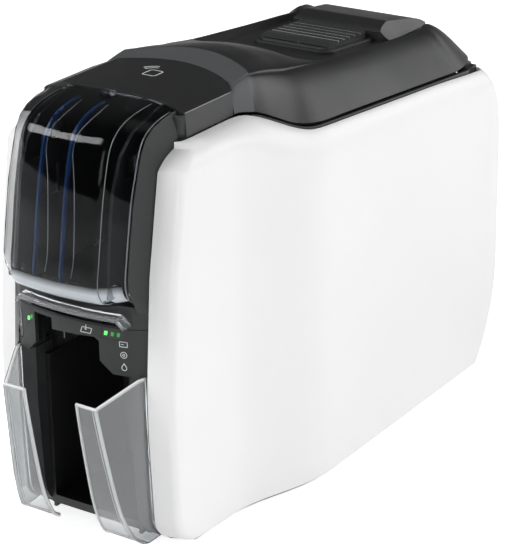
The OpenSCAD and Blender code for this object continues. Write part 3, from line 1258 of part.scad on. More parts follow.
module power_inlet() {
    y1 = rear_y - panel_inset - rear_lean(inlet_z + 10) + 1;
    color(black) difference() {
        union() {
            box([inlet_x - 14, y1 - 26, inlet_z - 10], [inlet_x + 14, y1, inlet_z + 10]);
            box([inlet_x - 8, supply_rear_y, inlet_z - 9], [inlet_x + 8, y1 - 25, inlet_z + 4]);
        }
        box([inlet_x - 12, y1 - 17, inlet_z - 8], [inlet_x + 12, y1 + 1, inlet_z + 8]);
    }
    color(steel) for (x = [-7, 0, 7]) box([inlet_x + x - 1, y1 - 18, inlet_z - 2 + (x == 0 ? 3 : 0)],
        [inlet_x + x + 1, y1 - 6, inlet_z + 2 + (x == 0 ? 3 : 0)]);
}
fan_y1 = flange_y;
fan_y0 = fan_y1 - 12;
fan_blades = 7;
module fan_frame() {
    s = fan_size / 2;
    color(black) {
        difference() {
            along_y(fan_y0, fan_y1) translate([0, fan_z]) round_rect(fan_size, fan_size, 4);
            along_y(fan_y0 - 1, fan_y1 + 1) translate([0, fan_z]) circle(s - 2, $fn = 64);
        }
        along_y(fan_y0, fan_y0 + 2) translate([0, fan_z]) {
            circle(9);
            for (a = [45:90:315]) rotate(a) translate([0, -1.2]) square([s - 1, 2.4]);
        }
        along_y(fan_y0, fan_y1 - 3) translate([0, fan_z]) circle(2);
    }
}
module fan_rotor() {
    tip = fan_size / 2 - 3;
    color(black) {
        difference() {
            along_y(fan_y0 + 2.5, fan_y1 - 1.5) translate([0, fan_z]) circle(9);
            along_y(fan_y0 + 2, fan_y1 - 2.5) translate([0, fan_z]) circle(2 + run_gap);
        }
        for (k = [0:fan_blades - 1]) translate([0, (fan_y0 + fan_y1) / 2 + 0.5, fan_z]) rotate([0, 360 * k / fan_blades, 0])
            translate([8.5, 0, 0]) rotate([35, 0, 0]) translate([0, -0.6, -5]) cube([tip - 8.5, 1.2, 10]);
    }
}

base_tray();
rubber_feet();
left_side_cover();
right_side_cover();
upper_fascia();
lower_fascia();
hopper_cover();
top_cover();
upper_deck();
rear_panel();
release_button();
button_spring();
latch_yoke();
latch_pin();
cover_hinge_pins();
hopper_door();
card_hopper();
feed_lip();
left_output_wing();
right_output_wing();
output_bay();
power_button();
light_windows();
indicator_board();
left_frame_plate();
right_frame_plate();
shaft_bushings();
pick_shaft();
pick_roller();
feed_shaft();
feed_roller();
platen_shaft();
platen_roller();
platen_gear();
transport_shaft();
transport_roller();
exit_shaft();
exit_roller();
feed_pinch_roller();
transport_pinch_roller();
cleaning_roller();
idle_pins();
bus_gear();
middle_gear();
transfer_gear();
gear_studs();
drive_motor();
motor_pinion();
supply_spool();
takeup_spool();
spool_hubs();
ribbon_web();
printhead();
head_bracket();
mainboard();
power_supply();
power_inlet();
fan_frame();
fan_rotor();
cover_screws();
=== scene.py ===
# Slim desktop card printer: the looks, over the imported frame. Metres, front towards -Y.
import math
import bpy
import bmesh
from mathutils import Matrix, Vector


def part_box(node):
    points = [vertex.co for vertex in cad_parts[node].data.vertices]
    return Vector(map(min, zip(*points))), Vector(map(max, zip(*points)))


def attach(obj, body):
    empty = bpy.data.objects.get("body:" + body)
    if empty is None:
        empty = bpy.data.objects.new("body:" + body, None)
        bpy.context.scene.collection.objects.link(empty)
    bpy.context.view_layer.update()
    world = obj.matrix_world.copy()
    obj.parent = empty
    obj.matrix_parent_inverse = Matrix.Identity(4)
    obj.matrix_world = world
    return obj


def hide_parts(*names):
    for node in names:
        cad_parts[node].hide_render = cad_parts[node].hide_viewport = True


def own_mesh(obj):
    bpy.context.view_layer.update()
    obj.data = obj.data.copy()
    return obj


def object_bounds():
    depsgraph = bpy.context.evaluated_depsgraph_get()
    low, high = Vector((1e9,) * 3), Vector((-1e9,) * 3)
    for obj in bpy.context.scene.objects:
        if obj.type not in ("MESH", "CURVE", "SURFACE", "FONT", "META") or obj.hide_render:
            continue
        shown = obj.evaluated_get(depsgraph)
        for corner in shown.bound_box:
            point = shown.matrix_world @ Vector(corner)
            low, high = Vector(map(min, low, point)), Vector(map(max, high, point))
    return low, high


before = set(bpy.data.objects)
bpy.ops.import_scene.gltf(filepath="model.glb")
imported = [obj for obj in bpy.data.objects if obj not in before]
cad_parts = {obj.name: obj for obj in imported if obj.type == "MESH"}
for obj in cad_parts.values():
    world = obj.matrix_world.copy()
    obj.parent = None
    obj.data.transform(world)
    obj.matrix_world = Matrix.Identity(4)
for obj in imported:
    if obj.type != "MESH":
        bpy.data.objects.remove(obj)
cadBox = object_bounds()
mm = 0.001
print("stage: frame loaded")


def clamp(t, low=0.0, high=1.0):
    return min(high, max(low, t))


def ease(t):
    t = clamp(t)
    return t * t * (3 - 2 * t)


def mix(a, b, t):
    return a + (b - a) * t


def roundBack(d, r):
    return r - math.sqrt(r * r - min(max(0.0, d), 0.98 * r) ** 2)


def smoothLine(points, steps):
    # Catmull-Rom through the points, with so many steps between neighbours
    out = []
    last = len(points) - 1
    for i in range(last):
        p0, p1, p2, p3 = points[max(0, i - 1)], points[i], points[i + 1], points[min(last, i + 2)]
        for s in range(steps):
            t = s / steps
            out.append(tuple(
                0.5 * (2 * b + (c - a) * t + (2 * a - 5 * b + 4 * c - d) * t * t
                       + (3 * b - a - 3 * c + d) * t ** 3)
                for a, b, c, d in zip(p0, p1, p2, p3)))
    out.append(tuple(points[last]))
    return out


def makeObject(name, bm, materials, smooth=True):
    mesh = bpy.data.meshes.new(name)
    bm.to_mesh(mesh)
    bm.free()
    if smooth:
        mesh.shade_smooth()
    obj = bpy.data.objects.new(name, mesh)
    bpy.context.scene.collection.objects.link(obj)
    for m in materials:
        mesh.materials.append(m)
    return obj


def newPiece(name, bm, body, material, replaced=(), smooth=True):
    bmesh.ops.recalc_face_normals(bm, faces=bm.faces)
    piece = makeObject(name, bm, material if isinstance(material, list) else [material], smooth)
    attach(piece, body)
    if replaced:
        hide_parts(*replaced)
    return piece


def sheetGrid(bm, grid):
    # Faces over rows of points in millimetres
    rows = [[bm.verts.new(Vector(p) * mm) for p in row] for row in grid]
    for a, b in zip(rows, rows[1:]):
        for j in range(len(a) - 1):
            bm.faces.new((a[j], a[j + 1], b[j + 1], b[j]))
    return rows


def thicken(piece, wall, offset=-1.0):
    mod = piece.modifiers.new("wall", "SOLIDIFY")
    mod.thickness = wall * mm
    mod.offset = offset
    mod.use_even_offset = True
    return mod


def softEdges(piece, width, segments=3, angle=38):
    mod = piece.modifiers.new("edges", "BEVEL")
    mod.width = width * mm
    mod.segments = segments
    mod.limit_method = "ANGLE"
    mod.angle_limit = math.radians(angle)
    mod.profile = 0.5
    mod.harden_normals = True
    return mod


def prism(bm, outline, place, depth):
    # Closed prism of a 2D outline; place(a, b, t) gives the point at depth share t
    ends = [[bm.verts.new(Vector(place(a, b, t * depth)) * mm) for a, b in outline] for t in (0, 1)]
    bm.faces.new(ends[0])
    bm.faces.new(list(reversed(ends[1])))
    n = len(outline)
    for i in range(n):
        bm.faces.new((ends[0][i], ends[1][i], ends[1][(i + 1) % n], ends[0][(i + 1) % n]))


def bead(bm, points, r, sides=8, beside=None):
    # Round rim along points in millimetres
    path = [Vector(p) for p in points]
    rings = []
    for i, p in enumerate(path):
        ahead = (path[min(i + 1, len(path) - 1)] - path[max(i - 1, 0)]).normalized()
        across = ahead.cross(beside or Vector((1, 0, 0) if abs(ahead.x) < 0.9 else (0, 1, 0))).normalized()
        up = ahead.cross(across)
        turns = [math.tau * k / sides for k in range(sides)]
        rings.append([bm.verts.new((p + (across * math.cos(a) + up * math.sin(a)) * r) * mm) for a in turns])
    for a, b in zip(rings, rings[1:]):
        for k in range(sides):
            bm.faces.new((a[k], a[(k + 1) % sides], b[(k + 1) % sides], b[k]))
    bm.faces.new(rings[0])
    bm.faces.new(list(reversed(rings[-1])))


class Sock:
    # One output of a node tree, with arithmetic
    def __init__(self, graph, socket):
        self.graph = graph
        self.socket = socket

    def __add__(self, other):
        return self.graph.maths("ADD", self, other)

    __radd__ = __add__

    def __sub__(self, other):
        return self.graph.maths("SUBTRACT", self, other)

    def __rsub__(self, other):
        return self.graph.maths("SUBTRACT", other, self)

    def __mul__(self, other):
        return self.graph.maths("MULTIPLY", self, other)

    __rmul__ = __mul__


class Graph:
    # A material's node tree
    def __init__(self, name):
        self.material = bpy.data.materials.new(name)
        self.material.use_nodes = True
        self.tree = self.material.node_tree
        self.shader = self.tree.nodes["Principled BSDF"]

    def node(self, kind, output=0, inputs=None, **settings):
        made = self.tree.nodes.new(kind)
        for key, value in settings.items():
            setattr(made, key, value)
        for key, value in (inputs or {}).items():
            self.feed(made.inputs[key], value)
        return Sock(self, made.outputs[output])

    def feed(self, socket, value):
        if isinstance(value, Sock):
            self.tree.links.new(value.socket, socket)
        else:
            socket.default_value = value

    def maths(self, operation, a, b):
        return self.node("ShaderNodeMath", 0, {0: a, 1: b}, operation=operation)

    def coords(self):
        return self.node("ShaderNodeTexCoord", "Object")

    def noise(self, scale, detail=3.0, rough=0.55, vector=None):
        return self.node("ShaderNodeTexNoise", "Fac", {
            "Vector": vector or self.coords(), "Scale": scale, "Detail": detail, "Roughness": rough})

    def cells(self, scale, vector=None):
        return self.node("ShaderNodeTexVoronoi", "Distance", {
            "Vector": vector or self.coords(), "Scale": scale, "Randomness": 1.0})

    def ramp(self, value, low, high, start=0.0, end=1.0):
        return self.node("ShaderNodeMapRange", 0, {
            "Value": value, "From Min": low, "From Max": high, "To Min": start, "To Max": end}, clamp=True)

    def blend(self, share, a, b):
        made = self.tree.nodes.new("ShaderNodeMix")
        made.data_type = "RGBA"
        for index, value in ((0, share), (6, a), (7, b)):
            self.feed(made.inputs[index], value)
        return Sock(self, made.outputs[2])

    def bump(self, height, strength, distance):
        settings = {"Height": height, "Strength": strength, "Distance": distance}
        return self.node("ShaderNodeBump", "Normal", settings)

    def set(self, **values):
        for key, value in values.items():
            self.feed(self.shader.inputs[key.replace("_", " ")], value)
        return self


def grey(v):
    return (v, v, v, 1.0)


def mouldedPlastic(name, colour, rough, grain, grainScale=2600.0, specular=0.5):
    # Spark-eroded plastic: fine pitted grain, slight drift of tone and gloss
    g = Graph(name)
    drift = g.noise(18.0, 4.0)
    pits = g.cells(grainScale) * 0.6 + g.noise(grainScale * 0.7, 2.0) * 0.4
    tone = g.ramp(drift, 0.3, 0.7, 0.94, 1.06)
    base = g.node("ShaderNodeVectorMath", 0, {0: colour[:3]}, operation="SCALE")
    g.feed(base.socket.node.inputs["Scale"], tone)
    g.set(Base_Color=base, Roughness=g.ramp(drift + (pits - 0.5) * 0.3, 0.3, 0.7, rough - 0.05, rough + 0.05),
          Normal=g.bump(pits, grain, 0.0002))
    g.set(Specular_IOR_Level=specular)
    return g.material


# Sizes in millimetres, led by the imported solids
def cad(node):
    low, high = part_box(node)
    return [v / mm for v in low], [v / mm for v in high]


bodyHalf = cadBox[1][0] / mm
frontY = cadBox[0][1] / mm
rearY = cadBox[1][1] / mm
hopperTop = cad("hopper_cover")[1][2] - 0.4
fasciaHalf = cad("upper_fascia")[1][0]
fasciaY = cad("lower_fascia")[0][1] + 6.5
sideWall = 2.5
lidWall = 2.5
seam = 0.5

sideFrontY = fasciaY - seam
sideFrontX = fasciaHalf + seam
neckHalf = 58.0
bevelAngle = math.radians(15)
bevelR = 5.0
rearRound = 8.0
rimFrontX = neckHalf - 11
rimRearX = bodyHalf - 7.5
rimFrontZ = hopperTop - 18
rimRearZ = hopperTop - 34
rearFall = 0.08


def fall(y):
    return rearFall * max(0.0, y + 25)


def frontLean(z):
    return 0.05 * max(0.0, 70 - z) + 0.085 * max(0.0, z - 98) + roundBack(22 - z, 18) + roundBack(z - 198, 24)


def rearLean(z):
    return roundBack(70 - z, 100) + roundBack(z - 150, 80)


def sideX(y):
    return mix(neckHalf + 0.035 * max(0.0, y - sideFrontY), bodyHalf, ease((y + 95) / 70))


def rimX(y):
    return mix(rimFrontX, rimRearX, ease((y + 78) / 60))


def rimZ(y):
    return mix(rimFrontZ, rimRearZ, ease((y + 70) / 45)) - fall(y)


def shoulderZ(y):
    return mix(hopperTop - 30, hopperTop - 56, ease((y + 90) / 56)) - fall(y)


def crestZ(y):
    return rimRearZ + 24 - fall(y)


def wellZ(y):
    return crestZ(y) - 4.5


def whitePanel():
    g = Graph("whitePanel")
    fine = g.noise(900.0, 2.0)
    drift = g.noise(9.0, 3.0)
    g.set(Base_Color=g.blend(g.ramp(drift, 0.3, 0.7), grey(0.885), grey(0.905)),
          Roughness=g.ramp(fine + drift, 0.7, 1.3, 0.34, 0.42), Normal=g.bump(fine, 0.06, 0.0001))
    g.set(Specular_IOR_Level=0.45, Coat_Weight=0.08, Coat_Roughness=0.2)
    return g.material


def clearPlastic(name, tint, rough, ior=1.49, through=1.0, specular=0.5, fade=None):
    # fade is (height, height, colour): the tint turns to that colour between the heights, in millimetres
    g = Graph(name)
    haze = g.noise(40.0, 3.0)
    colour = tint
    if fade:
        height = g.node("ShaderNodeSeparateXYZ", "Z", {"Vector": g.coords()})
        colour = g.blend(g.ramp(height, fade[0] * mm, fade[1] * mm), tint, fade[2])
    g.set(Base_Color=colour, Roughness=g.ramp(haze, 0.3, 0.7, rough * 0.6, rough * 1.4))
    g.set(Transmission_Weight=through, IOR=ior, Specular_IOR_Level=specular)
    return g.material


def plainGlow(name, colour, strength):
    g = Graph(name)
    core = g.cells(900.0)
    g.set(Base_Color=colour, Emission_Color=colour, Roughness=g.ramp(core, 0.0, 1.0, 0.25, 0.45))
    g.set(Emission_Strength=strength)
    return g.material


def metal(name, colour, rough, streak=400.0):
    g = Graph(name)
    brushed = g.node("ShaderNodeMapping", 0, {"Vector": g.coords(), "Scale": (1.0, 0.04, 1.0)})
    lines = g.noise(streak, 4.0, 0.6, brushed)
    g.set(Base_Color=g.blend(lines, tuple(c * 0.85 for c in colour[:3]) + (1,), colour),
          Roughness=g.ramp(lines, 0.3, 0.7, rough - 0.08, rough + 0.08), Normal=g.bump(lines, 0.1, 0.0001))
    g.set(Metallic=1.0)
    return g.material


def rubber(name, colour):
    return mouldedPlastic(name, colour, 0.75, 0.25, 1400.0, 0.3)


def board(name):
    g = Graph(name)
    v = g.coords()
    traces = g.node("ShaderNodeTexBrick", "Fac", {
        "Vector": v, "Scale": 260.0, "Mortar Size": 0.08, "Brick Width": 1.4, "Row Height": 0.4})
    g.set(Base_Color=g.blend(traces, (0.01, 0.09, 0.035, 1), (0.02, 0.16, 0.06, 1)),
          Roughness=g.ramp(traces, 0, 1, 0.3, 0.4))
    return g.material


def film(name):
    g = Graph(name)
    bands = g.node("ShaderNodeTexWave", "Fac", {"Vector": g.coords(), "Scale": 22.0, "Distortion": 0.3})
    g.set(Base_Color=g.blend(bands, (0.03, 0.02, 0.09, 1), (0.16, 0.03, 0.07, 1)), Roughness=0.25)
    return g.material


mats = {
    "white": whitePanel(),
    "lid": mouldedPlastic("lidPlastic", (0.015, 0.0155, 0.016), 0.42, 0.22),
    "collar": mouldedPlastic("collarPlastic", (0.075, 0.078, 0.082), 0.5, 0.5, 1500.0),
    "fascia": mouldedPlastic("fasciaPlastic", (0.027, 0.030, 0.030), 0.5, 0.25, 2600.0, 0.3),
    "inner": mouldedPlastic("innerPlastic", (0.008, 0.008, 0.009), 0.5, 0.2),
    "grey": mouldedPlastic("greyPlastic", (0.06, 0.064, 0.066), 0.45, 0.25),
    "gear": mouldedPlastic("gearPlastic", (0.72, 0.70, 0.64), 0.4, 0.1),
    "door": clearPlastic("doorClear", (0.60, 0.63, 0.66, 1), 0.03, 1.22),
    "ribClear": clearPlastic("doorRibClear", (0.94, 0.95, 0.96, 1), 0.02, 1.08),
    # Near-white and barely clear, fading to dark above: painted reflection of a bright band on the door's
    # foot
    "doorReflectionPaint": clearPlastic("doorFootPaintedReflection", (0.92, 0.94, 0.95, 1), 0.15, 1.4, 0.12, 0.5,
                             (153.5, 158.5, (0.02, 0.02, 0.022, 1))),
    "rib": clearPlastic("doorRibBlue", (0.03, 0.10, 0.30, 1), 0.2, 1.4, 0.45),
    "wing": clearPlastic("wingClear", (0.36, 0.38, 0.39, 1), 0.04, 1.45, 0.88, 0.5,
                         (12, 24, (0.76, 0.79, 0.80, 1))),
    # Near-white beads inside clear edges: painted highlights
    "edge": clearPlastic("edgePaintedHighlight", (0.95, 0.97, 0.97, 1), 0.12, 1.49, 0.15),
    "steel": metal("brushedSteel", (0.56, 0.57, 0.58, 1), 0.35),
    "alloy": metal("castAlloy", (0.62, 0.63, 0.64, 1), 0.3),
    "brass": metal("turnedBrass", (0.62, 0.47, 0.22, 1), 0.3),
    "rubber": rubber("rollerRubber", (0.035, 0.036, 0.04)),
    "blueRubber": rubber("cleanerRubber", (0.05, 0.16, 0.4)),
    "foot": rubber("footRubber", (0.015, 0.015, 0.016)),
    "board": board("circuitBoard"),
    "film": film("ribbonFilm"),
    "ledGreen": plainGlow("ledGreen", (0.10, 0.85, 0.12, 1), 1.4),
    # Faint glow for the unlit lights: painted light
    "unlitPaintedGlow": plainGlow("unlitPaintedGlow", (0.03, 0.30, 0.05, 1), 0.25),
    # A lighter, glossier bead colour: painted highlight on the hopper cover's edges
    "highlightPaint": mouldedPlastic("paintedEdgeHighlight", (0.20, 0.205, 0.21), 0.25, 0.05),
    # Lighter beads inside the door's wall: painted highlight lines
    "rim": clearPlastic("rimPaintedHighlight", (0.40, 0.42, 0.43, 1), 0.15, 1.49, 0.3),
    "pad": mouldedPlastic("padPlastic", (0.03, 0.031, 0.032), 0.38, 0.15),
    "print": mouldedPlastic("printWhite", (0.62, 0.64, 0.65), 0.5, 0.05),
}
print("stage: materials made")


def dress(node, material, edge=0.25, angle=35):
    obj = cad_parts[node]
    obj.data.materials.clear()
    obj.data.materials.append(material)
    for poly in obj.data.polygons:
        poly.material_index = 0
    if edge:
        weld = obj.modifiers.new("weld", "WELD")
        weld.merge_threshold = 0.00001
        softEdges(obj, edge, 2, angle)
    return obj


finishes = {
    "fascia": ["upper_fascia", "lower_fascia"],
    "inner": ["card_hopper", "output_bay", "base_tray", "fan_frame", "fan_rotor", "power_inlet",
              "supply_spool", "takeup_spool", "indicator_board"],
    "lid": ["upper_deck", "rear_panel"],
    "grey": ["latch_yoke", "spool_hubs", "feed_pinch_roller", "transport_pinch_roller", "power_button"],
    "steel": ["left_frame_plate", "right_frame_plate", "latch_pin", "cover_hinge_pins",
              "platen_shaft", "idle_pins", "gear_studs", "drive_motor", "head_bracket", "power_supply",
              "cover_screws"],
    "alloy": ["printhead"],
    "rubber": ["pick_roller", "feed_roller", "platen_roller", "transport_roller", "exit_roller"],
    "blueRubber": ["cleaning_roller"],
    "foot": ["rubber_feet"],
    "gear": ["pick_shaft", "feed_shaft", "transport_shaft", "exit_shaft", "platen_gear", "bus_gear",
             "middle_gear", "transfer_gear"],
    "brass": ["motor_pinion", "shaft_bushings"],
    "board": ["mainboard"],
    "film": ["ribbon_web"],
    "ledGreen": ["light_windows"],
    "wing": ["feed_lip", "left_output_wing", "right_output_wing"],
}
roundNodes = {"ribbon_web", "indicator_board", "idle_pins", "latch_pin", "cover_hinge_pins"}
for finish, names in finishes.items():
    for name in names:
        dress(name, mats[finish], 0.0 if name in roundNodes else 0.2)
print("stage: frame nodes dressed")


def sidePath():
    cx = neckHalf - bevelR
    bx = cx + bevelR * math.sin(bevelAngle)
    cy = sideFrontY + (bx - sideFrontX) * math.tan(bevelAngle) + bevelR * math.cos(bevelAngle)
    path = [(mix(sideFrontX, bx, t), mix(sideFrontY, cy - bevelR * math.cos(bevelAngle), t))
            for t in (0, 0.08, 0.3, 0.6, 0.9)]
    for k in range(13):
        a = mix(bevelAngle - math.pi / 2, 0, k / 12)
        path.append((cx + bevelR * math.cos(a), cy + bevelR * math.sin(a)))
    path += [(sideX(y), y) for y in (-140, -134, -127, -119, -111, -103)]
    path += [(sideX(y), y) for y in range(-96, -20, 3)]
    path += [(sideX(y), y) for y in (-16, -8, 2, 16, 32, 50, 70, 90, 105, 118, 130, 141, 150, 158, 165)]
    for k in range(9):
        a = math.pi / 2 * k / 8
        path.append((bodyHalf - rearRound * (1 - math.cos(a)), rearY - rearRound * (1 - math.sin(a))))
    return path


def sideGrid():
    path = sidePath()
    low = [5.5, 6.2, 7, 8, 9.5, 11, 13, 15, 17, 19.5, 22, 26, 31, 40, 52, 62, 70, 80, 92, 104, 118, 132,
           146, 158]
    levels = [(z, 0.0) for z in low] + [(None, math.radians(a)) for a in range(0, 81, 5)]
    grid = []
    for z0, a in levels:
        row = []
        for x, y in path:
            rise = math.sin(a) / math.sin(math.radians(80))
            z = z0 if z0 is not None else mix(shoulderZ(y), rimZ(y), rise)
            if z0 is not None:
                z = min(z, shoulderZ(y))
            share = clamp((x - sideFrontX) / (neckHalf - sideFrontX))
            inset = (sideX(y) - rimX(y)) * (1 - math.cos(a)) / (1 - math.cos(math.radians(80))) * share
            front = 1 - ease((y - sideFrontY - 6) / 45)
            rear = ease((y - rearY + 78) / 78)
            row.append((x - inset, y + frontLean(z) * front - rearLean(z) * rear, z))
        grid.append(row)
    return grid


def makeSideCover(side):
    grid = sideGrid()
    if side == "left":
        grid = [[(-x, y, z) for x, y, z in reversed(row)] for row in grid]
    bm = bmesh.new()
    sheetGrid(bm, grid)
    piece = makeObject(side + "SidePanel", bm, [mats["white"]])
    thicken(piece, sideWall)
    softEdges(piece, 0.5, 3, 50)
    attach(piece, "root")
    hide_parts(side + "_side_cover")


for side in ("left", "right"):
    makeSideCover(side)
print("stage: side covers made")


# Hopper cover: flat top, bevelled flanks down to the white covers
collarY = -38.5
collarBow = 31.5
coverSplit = 0.8
splitY = collarY - 14.5


def sectionFrom(half, steps, crisp=()):
    # Full section from the left edge to the right edge, smooth but for its crisp points
    runs, run = [], []
    for i, p in enumerate(half):
        run.append(p)
        if i in crisp:
            runs.append(run)
            run = [p]
    runs.append(run)
    line = []
    for run in runs:
        line += smoothLine(run, steps)[0 if not line else 1:]
    return [(-x, z) for x, z in line] + [(x, z) for x, z in reversed(line) if x > 0.001]


def ledge(y):
    return 2.4 * clamp((y - collarY + collarBow + 2) / 17)


def backArc(x):
    bow = splitY - collarY + collarBow
    return splitY - coverSplit - bow * (x / (rimX(collarY - collarBow) - 1.8)) ** 2


# Lengths of the hopper cover: its front edge behind the fascia's face, and the inner end of its bevel
hopperCover = {"front": 37.5, "bevelX": 34.5, "rows": 24, "edgeRadius": 0.32, "cheekWall": 0.8,
               "cheekFront": 33.5}


def makeHopperCover():
    c = hopperCover
    half = [(rimFrontX - 0.8, rimFrontZ + 0.4), (rimFrontX - 1.2, rimFrontZ + 8),
            (rimFrontX - 1.7, hopperTop - 5.6), (rimFrontX - 2.6, hopperTop - 4.8),
            (c["bevelX"], hopperTop - 0.9), (14, hopperTop + 0.1), (0, hopperTop + 0.4)]
    row = sectionFrom(half, 6, (2, 3, 4))
    grid = [[(x, mix(fasciaY + c["front"], backArc(x), s / c["rows"]), z) for x, z in row]
            for s in range(c["rows"] + 1)]
    bm = bmesh.new()
    sheetGrid(bm, grid)
    piece = newPiece("hopperTop", bm, "root", mats["lid"], ["hopper_cover"])
    thicken(piece, lidWall)
    softEdges(piece, 0.35, 3, 14)
    # Lighter beads along the lower edges of the bevels, a painted highlight, and cheeks that close the slot
    # behind the fascia
    bm = bmesh.new()
    for side in (-1, 1):
        x = side * (rimFrontX - 2.15)
        y0, y1 = fasciaY + c["front"] + 0.7, backArc(x) - 0.6
        bead(bm, [(x, mix(y0, y1, k / 8), hopperTop - 5.15) for k in range(9)], c["edgeRadius"])
    newPiece("coverEdges", bm, "root", mats["highlightPaint"])
    bm = bmesh.new()
    for side in (-1, 1):
        front, back = fasciaY + c["cheekFront"], (side * (rimFrontX - 1.6), fasciaY + c["front"] + 0.3)
        sheetGrid(bm, [[(side * (x - 0.3), front, hopperTop - drop), (*back, hopperTop - drop)]
                       for drop, x in ((19, 43.9), (14.5, 43.3), (11.4, 42.7), (7.4, 41.5), (5.8, 40.9))])
    cheeks = newPiece("coverCheeks", bm, "root", mats["fascia"])
    thicken(cheeks, c["cheekWall"], 0.0)


makeHopperCover()
print("stage: hopper cover made")


# Lifting cover: collar, flanks and the sunk well
hingeZ = rimRearZ - 16
coverGap = 1.8
wellHalf, wellFront, wellR, wellFloorT = 42.5, 10.0, 15.0, 3.0
# Release pad: place and width, its rise over the well at front and rear, and the grooves across it
pad = {"front": 58.0, "length": 47.0, "half": 23.0, "rise": (5.3, 6.6), "wall": 1.6, "inset": 1.5,
       "grooves": 5, "grooveDepth": 1.3, "grooveWidth": 0.5, "frontDrop": (8, 12)}
padFront, padLength, padHalf = pad["front"], pad["length"], pad["half"]
padRear = padFront + padLength


def coverSections():
    t = hopperTop
    r = rimRearZ
    out = []
    for y0, y1, xk, zk, zc in (
            (splitY, -70, 41.5, -6, -3.5), (-45, -66.4, 41.5, -3.6, -0.8), (-33.4, -58, 41.5, -1.6, 1.8),
            (-31.6, -56.6, 41.5, -2.5, 1.0), (-25, -52, 41.7, -3.4, 0.6), (-12, -46, 42, -5.4, -0.9),
            (-1, -36, 43, -8, -3.6), (8, -20, 43.8, -9.6, -6.2)):
        out.append((y0, y1, xk, t + zk, t + zc, rimX(y1) - coverGap, rimZ(y1) + seam + ledge(y1)))
    for y0, y1, up in ((30, 10, 2.5), (58, 50, 1), (84, 84, 0), (112, 112, 0), (130, 130, 0)):
        edge = (rimX(y1) - coverGap, rimZ(y1) + seam + ledge(y1))
        out.append((y0, y1, 44, crestZ(y1), crestZ(y0) + up, *edge))
    for y, xk, zk, zc, xe, ze in (
            (138, 43.5, -12.8, -12, 68.2, -32.2), (147, 42.5, -15, -14.2, 66.5, -32.0),
            (156, 41.5, -20, -18, 63, -31.8),
            (164, 40, -27, -25, 57, -32.0), (169, 38, -35, -33.5, 48, -37), (171, 36, -43, -42.5, 42, -44)):
        out.append((y, y, xk, r + 26.4 + zk, r + 26.4 + zc, xe, r + 22.8 + ze))
    return out


def coverRow(s):
    y0, y1, xk, zk, zc, xe, ze = s
    half = [(xe, ze), (mix(xk, xe, 0.7), mix(zk, ze, 0.66) + 0.6), (mix(xk, xe, 0.4), mix(zk, ze, 0.33) + 1),
            (mix(xk, xe, 0.16), mix(zk, ze, 0.1) + 0.5), (xk, zk), (xk - 2.5, mix(zk, zc, 0.3) + 0.2),
            (xk * 0.66, mix(zk, zc, 0.6)), (xk * 0.33, mix(zk, zc, 0.9)), (0, zc)]
    mirrored = half + [(-x, z) for x, z in reversed(half[:-1])]
    line = smoothLine(mirrored, 4)
    return [(-x, mix(y0, y1, min(1.0, (x / xe) ** 2)), z) for x, z in line]


def finerSections(sections, crispRow, steps):
    # Interpolates between sections; the rows before crispRow and after it meet at a crest
    front = smoothLine(sections[:crispRow + 1], steps)
    back = smoothLine(sections[crispRow:], steps)
    return front + back[1:]


def makeTopCover():
    crest, steps = 2, 4
    sections = finerSections(coverSections(), crest, steps)
    outer = [coverRow(s) for s in sections]
    bm = bmesh.new()
    rows = sheetGrid(bm, outer)
    bm.faces.ensure_lookup_table()
    for face in bm.faces[:crest * steps * (len(outer[0]) - 1)]:
        face.material_index = 1
    bmesh.ops.recalc_face_normals(bm, faces=bm.faces)
    bm.normal_update()
    # Inner wall: a wall's thickness in, and under the well's floor below it
    inner = []
    for row in rows:
        line = []
        for v in row:
            n = v.normal if v.normal.z > 0 or v.co.y > 0.15 else -v.normal
            if v.co.y <= 0.15 and n.z < 0:
                n = -n
            p = v.co / mm - n * lidWall
            if p.y > -7 and abs(p.x) < 44:
                p.z = min(p.z, wellZ(p.y) - wellFloorT)
            line.append(bm.verts.new(p * mm))
        inner.append(line)
    for a, b in zip(inner, inner[1:]):
        for j in range(len(a) - 1):
            bm.faces.new((a[j], b[j], b[j + 1], a[j + 1]))
    for a, b in ((rows[0], inner[0]), (rows[-1], inner[-1])):
        for j in range(len(a) - 1):
            bm.faces.new((a[j], b[j], b[j + 1], a[j + 1]))
    for side in (0, -1):
        for i in range(len(rows) - 1):
            bm.faces.new((rows[i][side], rows[i + 1][side], inner[i + 1][side], inner[i][side]))
    piece = newPiece("liftingCover", bm, "cover", [mats["lid"], mats["collar"]], ["top_cover"])
    return piece


def roundedRect(half, y0, y1, r, n=10):
    cx, cy0, cy1 = half - r, y0 + r, y1 - r
    out = []
    for x, y, start in ((cx, cy1, 0), (-cx, cy1, 90), (-cx, cy0, 180), (cx, cy0, 270)):
        for k in range(n + 1):
            a = math.radians(start + 90 * k / n)
            out.append((x + r * math.cos(a), y + r * math.sin(a)))
    return out


def hiddenTool(name, bm):
    # A cutter for a boolean: kept as data only, never shown
    bmesh.ops.recalc_face_normals(bm, faces=bm.faces)
    mesh = bpy.data.meshes.new(name)
    bm.to_mesh(mesh)
    bm.free()
    return bpy.data.objects.new(name, mesh)


def carve(piece, tools, operation="DIFFERENCE"):
    # Applies booleans with throwaway objects
    for tool in tools:
        bpy.context.scene.collection.objects.link(tool)
        mod = piece.modifiers.new("carve", "BOOLEAN")
        mod.operation = operation
        mod.solver = "EXACT"
        mod.object = tool
    graph = bpy.context.evaluated_depsgraph_get()
    graph.update()
    mesh = bpy.data.meshes.new_from_object(piece.evaluated_get(graph))
    old = piece.data
    piece.modifiers.clear()
    piece.data = mesh
    bpy.data.meshes.remove(old)
    for tool in tools:
        toolMesh = tool.data
        bpy.data.objects.remove(tool)
        bpy.data.meshes.remove(toolMesh)


def crispShading(piece, angle):
    piece.data.shade_smooth()
    piece.data.set_sharp_from_angle(angle=math.radians(angle))


